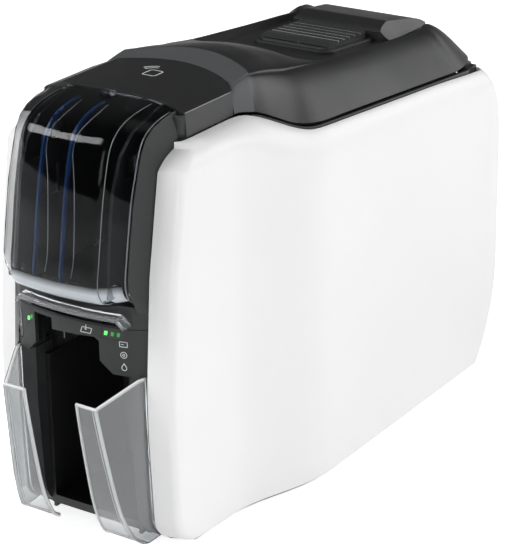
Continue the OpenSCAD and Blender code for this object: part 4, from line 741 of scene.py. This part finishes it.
def wellTool():
    bm = bmesh.new()
    plan = roundedRect(wellHalf, wellFront, rearY + 20, wellR)
    prism(bm, plan, lambda x, y, t: (x, y, mix(wellZ(y), hopperTop + 20, t)), 1)
    return hiddenTool("wellTool", bm)


def padHoleTool():
    bm = bmesh.new()
    plan = roundedRect(padHalf + seam, padFront - seam, padRear + seam, 4.5, 6)
    prism(bm, plan, lambda x, y, t: (x, y, mix(hingeZ, hopperTop + 5, t)), 1)
    return hiddenTool("padHole", bm)


lid = makeTopCover()
carve(lid, [wellTool(), padHoleTool()])
crispShading(lid, 22)
softEdges(lid, 0.4, 2, 32)


def makeSkirt():
    # Raised frame around the button
    bm = bmesh.new()
    outerPlan = roundedRect(padHalf + 4, padFront - 4, padRear + 4, 8)
    innerPlan = roundedRect(padHalf + 0.5, padFront - 0.5, padRear + 0.5, 4.5)
    rings = []
    for plan, grow in ((outerPlan, -0.6), (outerPlan, 1.6), (outerPlan, 2.2),
                       (innerPlan, 2.2), (innerPlan, 1.8), (innerPlan, -0.6)):
        ring = []
        for i, (x, y) in enumerate(plan):
            if plan is outerPlan and grow == 2.2:
                x, y = mix(x, innerPlan[i][0], 0.2), mix(y, innerPlan[i][1], 0.2)
            ring.append(bm.verts.new(Vector((x, y, wellZ(y) + grow)) * mm))
        rings.append(ring)
    n = len(rings[0])
    for a, b in zip(rings, rings[1:] + rings[:1]):
        for i in range(n):
            bm.faces.new((a[i], a[(i + 1) % n], b[(i + 1) % n], b[i]))
    piece = newPiece("buttonSkirt", bm, "cover", mats["lid"], smooth=False)
    crispShading(piece, 30)


def makeHump():
    half, foot, y0 = 30.0, 35.0, padRear + 1.5
    profile = smoothLine([(y0, wellZ(y0) - 1.5), (y0, crestZ(y0) + 1.4)], 1) + smoothLine(
        [(y0, crestZ(y0) + 1.4), (y0 + 3, crestZ(y0 + 3) + 3.4), (y0 + 7.5, crestZ(y0 + 7.5) + 5.0),
         (y0 + 12, crestZ(y0 + 12) + 6), (y0 + 20, crestZ(y0 + 20) + 5.5), (y0 + 30, crestZ(y0 + 30) + 4.8),
         (y0 + 40, crestZ(y0 + 40) + 3.8), (y0 + 47, crestZ(y0 + 47) + 1.2), (y0 + 51, crestZ(y0 + 51) - 3.4),
         (y0 + 51.4, wellZ(y0 + 50) - 1.5)], 5)[1:]
    bm = bmesh.new()
    prism(bm, profile, lambda y, z, t: (mix(-foot, foot, t), y, z), 1)
    piece = newPiece("gripHump", bm, "cover", mats["lid"])
    plan, ends = bmesh.new(), bmesh.new()
    prism(plan, roundedRect(foot, y0, rearY - 20, 7),
          lambda x, y, t: (x, y, mix(hingeZ - 10, hopperTop + 10, t)), 1)
    low, shoulder, top = wellZ(rearY) - 6, wellZ(y0), crestZ(y0) + 6.6
    slope = [(-foot, low), (foot, low), (foot, shoulder), (half - 3, top), (3 - half, top), (-foot, shoulder)]
    prism(ends, slope, lambda x, z, t: (x, mix(y0 - 5, rearY, t), z), 1)
    carve(piece, [hiddenTool("humpPlan", plan), hiddenTool("humpEnds", ends)], "INTERSECT")
    crispShading(piece, 28)
    softEdges(piece, 1.4, 4, 24)


def padRise(y):
    return wellZ(y) + mix(*pad["rise"], (y - padFront) / padLength)


def makeButton():
    y0, y1 = padFront, padRear
    pitch = padLength * 0.64 / pad["grooves"]
    centres = [y0 + padLength * 0.3 + i * pitch for i in range(pad["grooves"])]
    drop, radius = pad["frontDrop"]

    def topZ(y):
        grooves = sum(pad["grooveDepth"] * math.exp(-((y - c) / pad["grooveWidth"]) ** 2) for c in centres)
        return padRise(y) - roundBack(y0 + drop - y, radius) - grooves

    ys = [y0] + [y0 + 0.4 + i * 0.4 for i in range(int((padLength - 2.4) / 0.4))] + [y1 - 2]
    profile = [(y0, wellZ(y0) - 1)] + [(y, topZ(y)) for y in ys] + [(y1, topZ(y1) - 0.8), (y1, wellZ(y1) - 1)]
    bm = bmesh.new()
    prism(bm, profile, lambda y, z, t: (mix(-padHalf, padHalf, t), y, z), 1)
    piece = newPiece("releasePad", bm, "release", mats["pad"], ["release_button"])
    tool = bmesh.new()
    prism(tool, roundedRect(padHalf, y0, y1, 4), lambda x, y, t: (x, y, mix(hingeZ, hopperTop, t)), 1)
    carve(piece, [hiddenTool("padPlan", tool)], "INTERSECT")
    # Hollow under the pad, clear of its spring
    hollow = bmesh.new()
    inset, wall = pad["inset"], pad["wall"]
    under = [(y0 + inset, wellZ(y0) - 3), (y0 + inset, padRise(y0 + inset) - wall),
             (y1 - inset, padRise(y1 - inset) - wall), (y1 - inset, wellZ(y1) - 3)]
    prism(hollow, under, lambda y, z, t: (mix(inset - padHalf, padHalf - inset, t), y, z), 1)
    carve(piece, [hiddenTool("padHollow", hollow)])
    crispShading(piece, 30)
    softEdges(piece, 0.3, 2, 35)


# Coil under the front of the button
spring = {"wire": 0.5, "turns": 5, "clearance": 0.25, "travel": 3.1}


def makeSpring():
    low, high = cad("button_spring")
    wire, turns = spring["wire"], spring["turns"]
    r, y = (high[0] - low[0]) / 2 - wire, (low[1] + high[1]) / 2
    bottom = low[2] + wire
    top = min(padRise(y - r), padRise(y + r)) - pad["wall"] - wire - spring["clearance"]
    steps = 16 * turns
    coil = [(r * math.cos(math.tau * turns * k / steps), y + r * math.sin(math.tau * turns * k / steps),
             mix(bottom, top, k / steps)) for k in range(steps + 1)]
    bm = bmesh.new()
    bead(bm, coil, wire, 8, Vector((0, 0, 1)))
    piece = newPiece("buttonCoil", bm, "cover", mats["steel"], ["button_spring"])
    height = top - bottom + 2 * wire
    y * mm
    1 - spring["travel"] / height
    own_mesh(piece)


makeSkirt()
makeHump()
makeButton()
makeSpring()
print("stage: top cover, button and grip made")


# Hopper door: one clear moulding, ribs inside, hinge ears
door = {"low": 145.5, "wall": 2.0, "ribs": (-13, 4), "ribWidth": 1.2, "earX": 30.8, "pinRadius": 2.2,
        "rims": ((1.2, 0.42), (12.0, 0.28)), "footRows": (18, 4), "footWall": 0.3}
doorLow = door["low"]
pivotY, pivotZ = fasciaY - 7.5, 154.0
doorHalf = fasciaHalf - 3.5
doorFlat = doorHalf - 13.5
frontLine = [(37, 0.995), (22.5, 0.985), (10.5, 0.965), (1.5, 0.925), (-5, 0.856), (-9, 0.743), (-13.5, 0.55),
             (-17.5, 0.305), (-20, 0.155), (-19, 0.075), (-15.5, 0.027), (-9.5, 0.003), (-4.5, 0)]
edgeLine = [(37, 0.962), (24.5, 0.944), (16.5, 0.917), (10.5, 0.877), (6.5, 0.813), (3.3, 0.722),
            (-1.9, 0.55), (-6.5, 0.305), (-8.8, 0.155), (-8.1, 0.091), (-6.5, 0.053), (-4.5, 0.032),
            (-2, 0.021)]


def doorYZ(p):
    return fasciaY + p[0], mix(doorLow, hopperTop, p[1])


def doorPoint(front, edge, i, x, rows):
    side = max(0.0, (abs(x) - doorFlat) / (doorHalf - doorFlat))
    bow = 2.5 * max(0.0, 1 - (x / doorFlat) ** 2) * (1 - ease((4 - 12 * i / rows) / 4))
    a, b = doorYZ(front[i]), doorYZ(edge[i])
    return (x, mix(a[0], b[0], side) - bow, mix(a[1], b[1], side))


def earNotches():
    # Room in the door's foot for the hopper's hinge walls
    tools = []
    for side in (-1, 1):
        bm = bmesh.new()
        edge = [(28.1, pivotY - 6.5), (31.2, pivotY - 6.5), (31.2, fasciaY + 2), (28.1, fasciaY + 2)]
        prism(bm, edge, lambda x, y, t, side=side: (side * x, y, mix(doorLow - 5, doorLow + 4.5, t)), 1)
        tools.append(hiddenTool("earNotch", bm))
    return tools


def makeDoor():
    front, edge = smoothLine(frontLine, 5), smoothLine(edgeLine, 5)
    rows = len(front) - 1
    columns = [-mix(doorFlat, doorHalf, s) for s in (1, 0.985, 0.8, 0.6, 0.4, 0.2, 0.05)]
    columns += [mix(-doorFlat, doorFlat, k / 14) for k in range(15)]
    columns += [mix(doorFlat, doorHalf, s) for s in (0.05, 0.2, 0.4, 0.6, 0.8, 0.985, 1)]
    bm = bmesh.new()
    sheetGrid(bm, [[doorPoint(front, edge, i, x, rows) for x in columns] for i in range(rows, -1, -1)])
    shell = newPiece("doorShell", bm, "door", mats["door"], ["hopper_door"])
    thicken(shell, door["wall"])
    carve(shell, earNotches())
    crispShading(shell, 40)
    softEdges(shell, 0.5, 3, 40)
    # Two crescent ribs
    inner = [(28, 0.945), (6, 0.885), (-2, 0.8), (-2.5, 0.62), (-4, 0.4), (-6, 0.2), (-9, 0.1)]
    ribOutline = [(doorYZ(p)[0] + 2.1, doorYZ(p)[1] - 0.8) for p in smoothLine(frontLine, 3)[3:-9]]
    ribOutline += [doorYZ(p) for p in reversed(smoothLine(inner, 3))]
    bm = bmesh.new()
    for x in door["ribs"]:
        prism(bm, ribOutline, lambda y, z, t, x=x: (x - door["ribWidth"] / 2 + t, y, z), door["ribWidth"])
    newPiece("doorRibs", bm, "door", mats["ribClear"], smooth=False)
    # Blue front edges of the ribs, and near-white beads on the inner ones: painted highlights
    bm = bmesh.new()
    frontRows = smoothLine(frontLine, 3)[3:-9]
    strip = [(doorYZ(p)[0] + 2.05, doorYZ(p)[1] - 0.8) for p in frontRows]
    strip += [(doorYZ(p)[0] + 4.1, doorYZ(p)[1] - 1.6) for p in reversed(frontRows)]
    for x in door["ribs"]:
        prism(bm, strip, lambda y, z, t, x=x: (x - 0.65 + t, y, z), 1.3)
    newPiece("doorRibFronts", bm, "door", mats["rib"], smooth=False)
    bm = bmesh.new()
    for x in door["ribs"]:
        bead(bm, [(x, doorYZ(p)[0], doorYZ(p)[1]) for p in smoothLine(inner, 3)], 0.22)
    newPiece("doorRibEdges", bm, "door", mats["edge"])
    # Hinge ears with their pins
    bm = bmesh.new()
    ear = [(pivotY, pivotZ + 3), (pivotY - 6.8, pivotZ + 4), (pivotY - 6.8, pivotZ - 3), (pivotY, pivotZ - 3)]
    turn = [math.pi * k / 10 for k in range(1, 10)]
    ear += [(pivotY + 3 * math.sin(a), pivotZ - 3 * math.cos(a)) for a in turn]
    r = door["pinRadius"]
    for side in (-1, 1):
        prism(bm, ear, lambda y, z, t, side=side: (side * (door["earX"] + t), y, z), 2.5)
        pin = [(pivotY + r * math.cos(math.tau * k / 24), pivotZ + r * math.sin(math.tau * k / 24))
               for k in range(24)]
        prism(bm, pin, lambda y, z, t, side=side: (side * (28.5 + t), y, z), 3)
    ears = newPiece("doorEars", bm, "door", mats["door"], smooth=False)
    softEdges(ears, 0.2, 2, 40)
    # Lighter beads inside the wall at the side edges and at the corners: painted highlight lines
    bm = bmesh.new()
    rows = len(edge) - 1
    for side in (-1, 1):
        for inset, r in door["rims"]:
            rim = [doorPoint(front, edge, i, side * (doorHalf - inset), rows) for i in range(rows + 1)]
            bead(bm, [(x, y + 1.0, z - 0.3) for x, y, z in rim[2:-2]], r)
    newPiece("doorRims", bm, "door", mats["rim"])
    # Pale sheet inside the wall at the foot: a painted reflection, its top fading to dark
    bm = bmesh.new()
    footRows = range(rows - door["footRows"][0], rows - door["footRows"][1])
    sheetGrid(bm, [[Vector(doorPoint(front, edge, i, x, rows)) + Vector((0, 1.1, 1.0)) for x in columns[2:-2]]
                   for i in footRows])
    foot = newPiece("doorPaintedReflection", bm, "door", mats["doorReflectionPaint"])
    thicken(foot, door["footWall"])
    carve(foot, earNotches())
    # Finger catch
    bm = bmesh.new()
    top = hopperTop
    catch = [(-4.4, top - 1.0), (4.4, top - 1.0), (3.4, top + 0.3), (2.6, top + 0.85),
             (-2.6, top + 0.85), (-3.4, top + 0.3)]
    prism(bm, catch, lambda x, z, t: (x, fasciaY + 31 + t, z), 5.5)
    tab = newPiece("doorCatch", bm, "door", mats["door"], smooth=False)
    softEdges(tab, 0.3, 2, 30)


makeDoor()
print("stage: door made")


# Fascia: bowed face, marks and lights
bowEdgeX = fasciaHalf - 6.5
bowEdgeY = fasciaY - 1.5
bowRise = 5.0
bowRadius = (bowEdgeX ** 2 + bowRise ** 2) / (2 * bowRise)


def bowY(x):
    if abs(x) <= bowEdgeX:
        return bowEdgeY - bowRise + bowRadius - math.sqrt(bowRadius ** 2 - x * x)
    return mix(bowEdgeY, fasciaY + 3, (abs(x) - bowEdgeX) / (fasciaHalf - bowEdgeX))


def facePatch(bm, outline, proud):
    # A thin printed or moulded mark on the bowed face, outline in x and z
    front = [bm.verts.new(Vector((x, bowY(x) - proud, z)) * mm) for x, z in outline]
    back = [bm.verts.new(Vector((x, bowY(x) + 0.4, z)) * mm) for x, z in outline]
    bm.faces.new(front)
    bm.faces.new(list(reversed(back)))
    n = len(outline)
    for i in range(n):
        bm.faces.new((front[i], back[i], back[(i + 1) % n], front[(i + 1) % n]))


def stroke(bm, points, width, proud=0.06):
    # A line of constant width through points in x and z
    for (x0, z0), (x1, z1) in zip(points, points[1:]):
        length = math.hypot(x1 - x0, z1 - z0)
        nx, nz = (z1 - z0) / length * width / 2, -(x1 - x0) / length * width / 2
        facePatch(bm, [(x0 + nx, z0 + nz), (x1 + nx, z1 + nz), (x1 - nx, z1 - nz), (x0 - nx, z0 - nz)], proud)


def arc(cx, cz, r, a0, a1, n=16):
    angles = [math.radians(mix(a0, a1, k / n)) for k in range(n + 1)]
    return [(cx + r * math.cos(a), cz + r * math.sin(a)) for a in angles]


def makeMarks():
    bm = bmesh.new()
    # Power sign on the button
    px, pz = -fasciaHalf + 3.6, 117.5
    stroke(bm, arc(px, pz, 1.9, 125, 415), 0.45, 0.12)
    stroke(bm, [(px, pz + 0.6), (px, pz + 2.7)], 0.45, 0.12)
    newPiece("powerSign", bm, "power_key", mats["print"], smooth=False)
    bm = bmesh.new()
    # Signs beside the right lights: a card, a ribbon, a drop
    stroke(bm, [(29.4, 120.6), (33.6, 120.6), (33.6, 123.4), (29.4, 123.4), (29.4, 120.6)], 0.4)
    stroke(bm, [(30.2, 122.0), (31.8, 122.0)], 0.35)
    stroke(bm, arc(31.5, 116, 1.7, 0, 360), 0.4)
    stroke(bm, arc(31.5, 116, 0.6, 0, 360, 8), 0.35)
    stroke(bm, [(31.5, 111.2), (30.2, 109.2)] + arc(31.5, 108.6, 1.35, 155, 385, 10) + [(31.5, 111.2)], 0.4)
    # Card feed sign on the header
    stroke(bm, [(6.5, 125.0), (12.5, 125.0), (13.6, 128.0), (7.6, 128.0), (6.5, 125.0)], 0.4)
    stroke(bm, [(10, 129.6), (10, 126.6), (9.2, 127.4)], 0.4)
    newPiece("fasciaSigns", bm, "root", mats["print"], smooth=False)
    # Card and waves printed on the hopper cover
    bm = bmesh.new()
    cardLine = [(x * 0.5 + 0.6, y * 0.5 - 78.7) for x, y in (
        (-7, -9), (6, -9), (8, -7), (8, 7), (6, 9), (-6, 9), (-8, 7), (-8, -7), (-7, -9))]
    for line in (cardLine, arc(0.5, -79, 9.4, 104, 150, 8), arc(0.5, -79, 12, 106, 148, 8)):
        for (x0, y0), (x1, y1) in zip(line, line[1:]):
            length = math.hypot(x1 - x0, y1 - y0)
            nx, ny = (y1 - y0) / length * 0.3, -(x1 - x0) / length * 0.3
            mark = [(x0 + nx, y0 + ny), (x1 + nx, y1 + ny), (x1 - nx, y1 - ny), (x0 - nx, y0 - ny)]
            prism(bm, mark, lambda x, y, t: (x, y, hopperTop + mix(0.1, 0.46, t)), 1)
    newPiece("coverSign", bm, "root", mats["print"], smooth=False)


def makeLights():
    # Windows of the status lights, with their lit cores and a painted glow on the unlit ones
    windows = bmesh.new()
    for x, z, w, h in ((-30, 123.5, 5, 3.4), (26, 127, 15, 6)):
        outline = [(x - w / 2, z - h / 2), (x + w / 2 - 1.5, z - h / 2),
                   (x + w / 2, z + h / 2), (x - w / 2 + 1.5, z + h / 2)]
        steps = 8
        top = [(mix(outline[3][0], outline[2][0], k / steps), outline[2][1]) for k in range(steps + 1)]
        low = [(mix(outline[0][0], outline[1][0], k / steps), outline[0][1]) for k in range(steps + 1)]
        for k in range(steps):
            facePatch(windows, [low[k], low[k + 1], top[k + 1], top[k]], -0.25)
    newPiece("lightWindows", windows, "root", mats["inner"], ["light_windows"], smooth=False)
    bright, dim = bmesh.new(), bmesh.new()
    lit, unlit = [(-31, 122.9), (21.6, 127.0)], [(-28.6, 124.3), (25.4, 127.0), (28.8, 127.0)]
    for bm, places in ((bright, lit), (dim, unlit)):
        for x, z in places:
            low, high = z - 1.1, z + 1.1
            facePatch(bm, [(x - 0.9, low), (x + 0.7, low), (x + 1.1, high), (x - 0.5, high)], 0.0)
    newPiece("lightsOn", bright, "root", mats["ledGreen"], smooth=False)
    newPiece("unlitLightsPaintedGlow", dim, "root", mats["unlitPaintedGlow"], smooth=False)


makeMarks()
makeLights()
print("stage: marks and lights made")


# Clear wings beside the output bay
wing = {"frontX": 30.5, "lipX": 17.0, "wall": 1.8, "topZ": 103.2,
        "rims": {"lip": 1.0, "corner": 0.9, "inset": 0.35, "top": 0.95, "slope": 0.9}}
wingOuter, wingFrontX = fasciaHalf - 1, wing["frontX"]
wingLine = [(24, 8), (20.5, 10.2), (17.5, 14), (11.5, 28), (6.5, 52), (2.2, 78), (0, 93.5)]


def makeWing(side):
    sign = 1 if side == "right" else -1
    line = smoothLine(wingLine, 4)

    def outX(y):
        return mix(wingFrontX, wingOuter, clamp((y - frontY) / (fasciaY - 1 - frontY)))

    bm = bmesh.new()
    scoop = []
    for dy, z in line:
        y = frontY + 0.25 + dy
        xo = outX(y)
        row = [(mix(wing["lipX"], wingFrontX - 2, k / 4), y + mix(0.3, 0, k / 4), z) for k in range(5)]
        row += [(mix(wingFrontX - 2, xo, t), y + 0.0, z) for t in (0.4, 0.8, 1)]
        scoop.append([(sign * x, yy, zz) for x, yy, zz in row])
    rows = sheetGrid(bm, scoop)
    # Side wall from the front edge back into the column
    edges = [row[-1] for row in rows]
    levels = [(v.co.y / mm, v.co.z / mm) for v in edges]
    columns = 6
    previous = None
    for v, (y, z) in zip(edges, levels):
        back = fasciaY + 0.8 + frontLean(z)
        depths = [mix(y, back, k / columns) for k in range(1, columns + 1)]
        line2 = [v] + [bm.verts.new(Vector((sign * outX(depth), depth, z)) * mm) for depth in depths]
        if previous:
            for k in range(columns):
                bm.faces.new((previous[k], previous[k + 1], line2[k + 1], line2[k]))
        previous = line2
    # Sloped top edge
    z0 = levels[-1][1]
    heights = [mix(z0, wing["topZ"], min(1.0, k / (columns - 1))) for k in range(1, columns + 1)]
    top = [previous[0]]
    top += [bm.verts.new(Vector((p.co.x, p.co.y, z * mm))) for p, z in zip(previous[1:], heights)]
    for k in range(columns):
        if k == 0:
            bm.faces.new((previous[0], previous[1], top[1]))
        else:
            bm.faces.new((previous[k], previous[k + 1], top[k + 1], top[k]))
    bmesh.ops.recalc_face_normals(bm, faces=bm.faces)
    if sum(f.normal.y * f.calc_area() for f in bm.faces) > 0:
        bmesh.ops.reverse_faces(bm, faces=bm.faces)
    # Rounded near-white rims, painted highlights of the clear edges: inner lip, front corner, top edges and
    # the edge at the column
    def inside(v, dx=0.0):
        return (v.co.x / mm - sign * dx, v.co.y / mm + 1.1, v.co.z / mm)

    rims, r = bmesh.new(), wing["rims"]
    bead(rims, [inside(row[0], -0.6) for row in rows[1:]], r["lip"])
    bead(rims, [inside(row[-1], 0.9) for row in rows[1:]], r["corner"])
    bead(rims, [inside(row[-1], 2.8) for row in rows[1:]], r["inset"])
    bead(rims, [inside(v) for v in rows[-1]], r["top"])
    bead(rims, [inside(v, 0.9) for v in top], r["slope"])
    newPiece(side + "WingRims", rims, "root", mats["edge"])
    piece = makeObject(side + "Wing", bm, [mats["wing"]])
    thicken(piece, wing["wall"])
    softEdges(piece, 0.45, 3, 40)
    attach(piece, "root")
    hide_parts(side + "_output_wing")


for side in ("left", "right"):
    makeWing(side)
print("stage: wings made")


def aim(obj, place, target, roll=0.0):
    direction = Vector(target) - Vector(place)
    obj.location = place
    turn = direction.to_track_quat("-Z", "Y").to_matrix() @ Matrix.Rotation(roll, 3, "Z")
    obj.rotation_euler = turn.to_euler()


camera = bpy.data.cameras.new("camera")
cameraObj = bpy.data.objects.new("camera", camera)
bpy.context.scene.collection.objects.link(cameraObj)
camera.sensor_fit = "VERTICAL"
camera.sensor_height = 36.0
camera.lens = 36.0 * 2211 / 544
camera.shift_x = -(259.9 - 252.5) / 544
camera.shift_y = (270.7 - 272.0) / 544
aim(cameraObj, (0.6689, -0.9793, 0.5885), (0.0170, -0.0041, 0.1080), math.radians(-0.8))
bpy.context.scene.camera = cameraObj


def softbox(name, place, target, size, power, roll=0.0):
    lamp = bpy.data.lights.new(name, "AREA")
    lamp.shape = "RECTANGLE"
    lamp.size, lamp.size_y = size
    lamp.energy = power
    obj = bpy.data.objects.new(name, lamp)
    bpy.context.scene.collection.objects.link(obj)
    aim(obj, place, target, math.radians(roll))


# Name, place, target, size, watts, roll in degrees
lamps = [
    ("rearRightBox", (1.45, 2.1, 1.1), (0.05, 0, 0.2), (1.8, 1.5), 29),
    ("rightBox", (2.6, -0.5, 1.0), (0, 0, 0.15), (1.6, 1.4), 32),
    ("frontBox", (0.95, -2.4, 0.9), (0, 0, 0.12), (1.3, 1.0), 11),
    # Shows as the band on the door
    ("doorStrip", (-1.10, -1.01, 1.50), (0, -0.155, 0.23), (1.3, 0.62), 30, 33),
    ("topBox", (0.3, 0.6, 2.6), (0, 0, 0.15), (1.2, 1.2), 2),
]
for lamp in lamps:
    softbox(*lamp)

world = bpy.data.worlds.new("world")
bpy.context.scene.world = world
world.use_nodes = True
world.node_tree.nodes["Background"].inputs["Color"].default_value = (0.08, 0.08, 0.08, 1)
world.node_tree.nodes["Background"].inputs["Strength"].default_value = 1.0


def paleStage():
    g = Graph("paleStage")
    path = g.tree.nodes.new("ShaderNodeLightPath")
    seen = Sock(g, path.outputs["Is Camera Ray"]) + Sock(g, path.outputs["Is Glossy Ray"]) + Sock(
        g, path.outputs["Is Transmission Ray"])
    sparkle = g.noise(40.0, 2.0)
    glow = g.blend(g.maths("MINIMUM", seen, 1.0), (0, 0, 0, 1), (0.82, 0.82, 0.82, 1))
    g.set(Base_Color=(0.8, 0.8, 0.8, 1), Emission_Color=glow, Roughness=g.ramp(sparkle, 0, 1, 0.85, 0.95))
    g.set(Emission_Strength=1.0, Specular_IOR_Level=0.1)
    return g.material


stage = {"radius": 4.2, "segments": 96,
         "curb": ((0.3, 0.0), (0.16, 0.03), (0.06, 0.08), (0.01, 0.16), (0, 0.3))}


def makeStage():
    pale = paleStage()
    bm = bmesh.new()
    bmesh.ops.create_circle(bm, cap_ends=True, segments=stage["segments"], radius=stage["radius"])
    floor = makeObject("floor", bm, [pale], False)
    # A low round backdrop at the rim of the floor
    bm = bmesh.new()
    profile = [bm.verts.new((stage["radius"] - r, 0, z)) for r, z in stage["curb"]]
    edges = [bm.edges.new((a, b)) for a, b in zip(profile, profile[1:])]
    bmesh.ops.spin(bm, geom=profile + edges, axis=(0, 0, 1), cent=(0, 0, 0), steps=stage["segments"],
                   angle=math.tau, use_merge=True)
    bmesh.ops.recalc_face_normals(bm, faces=bm.faces)
    backdrop = makeObject("backdrop", bm, [pale])


makeStage()
bpy.context.scene.view_settings.view_transform = "Standard"
print("stage: camera, lamps and stage set")
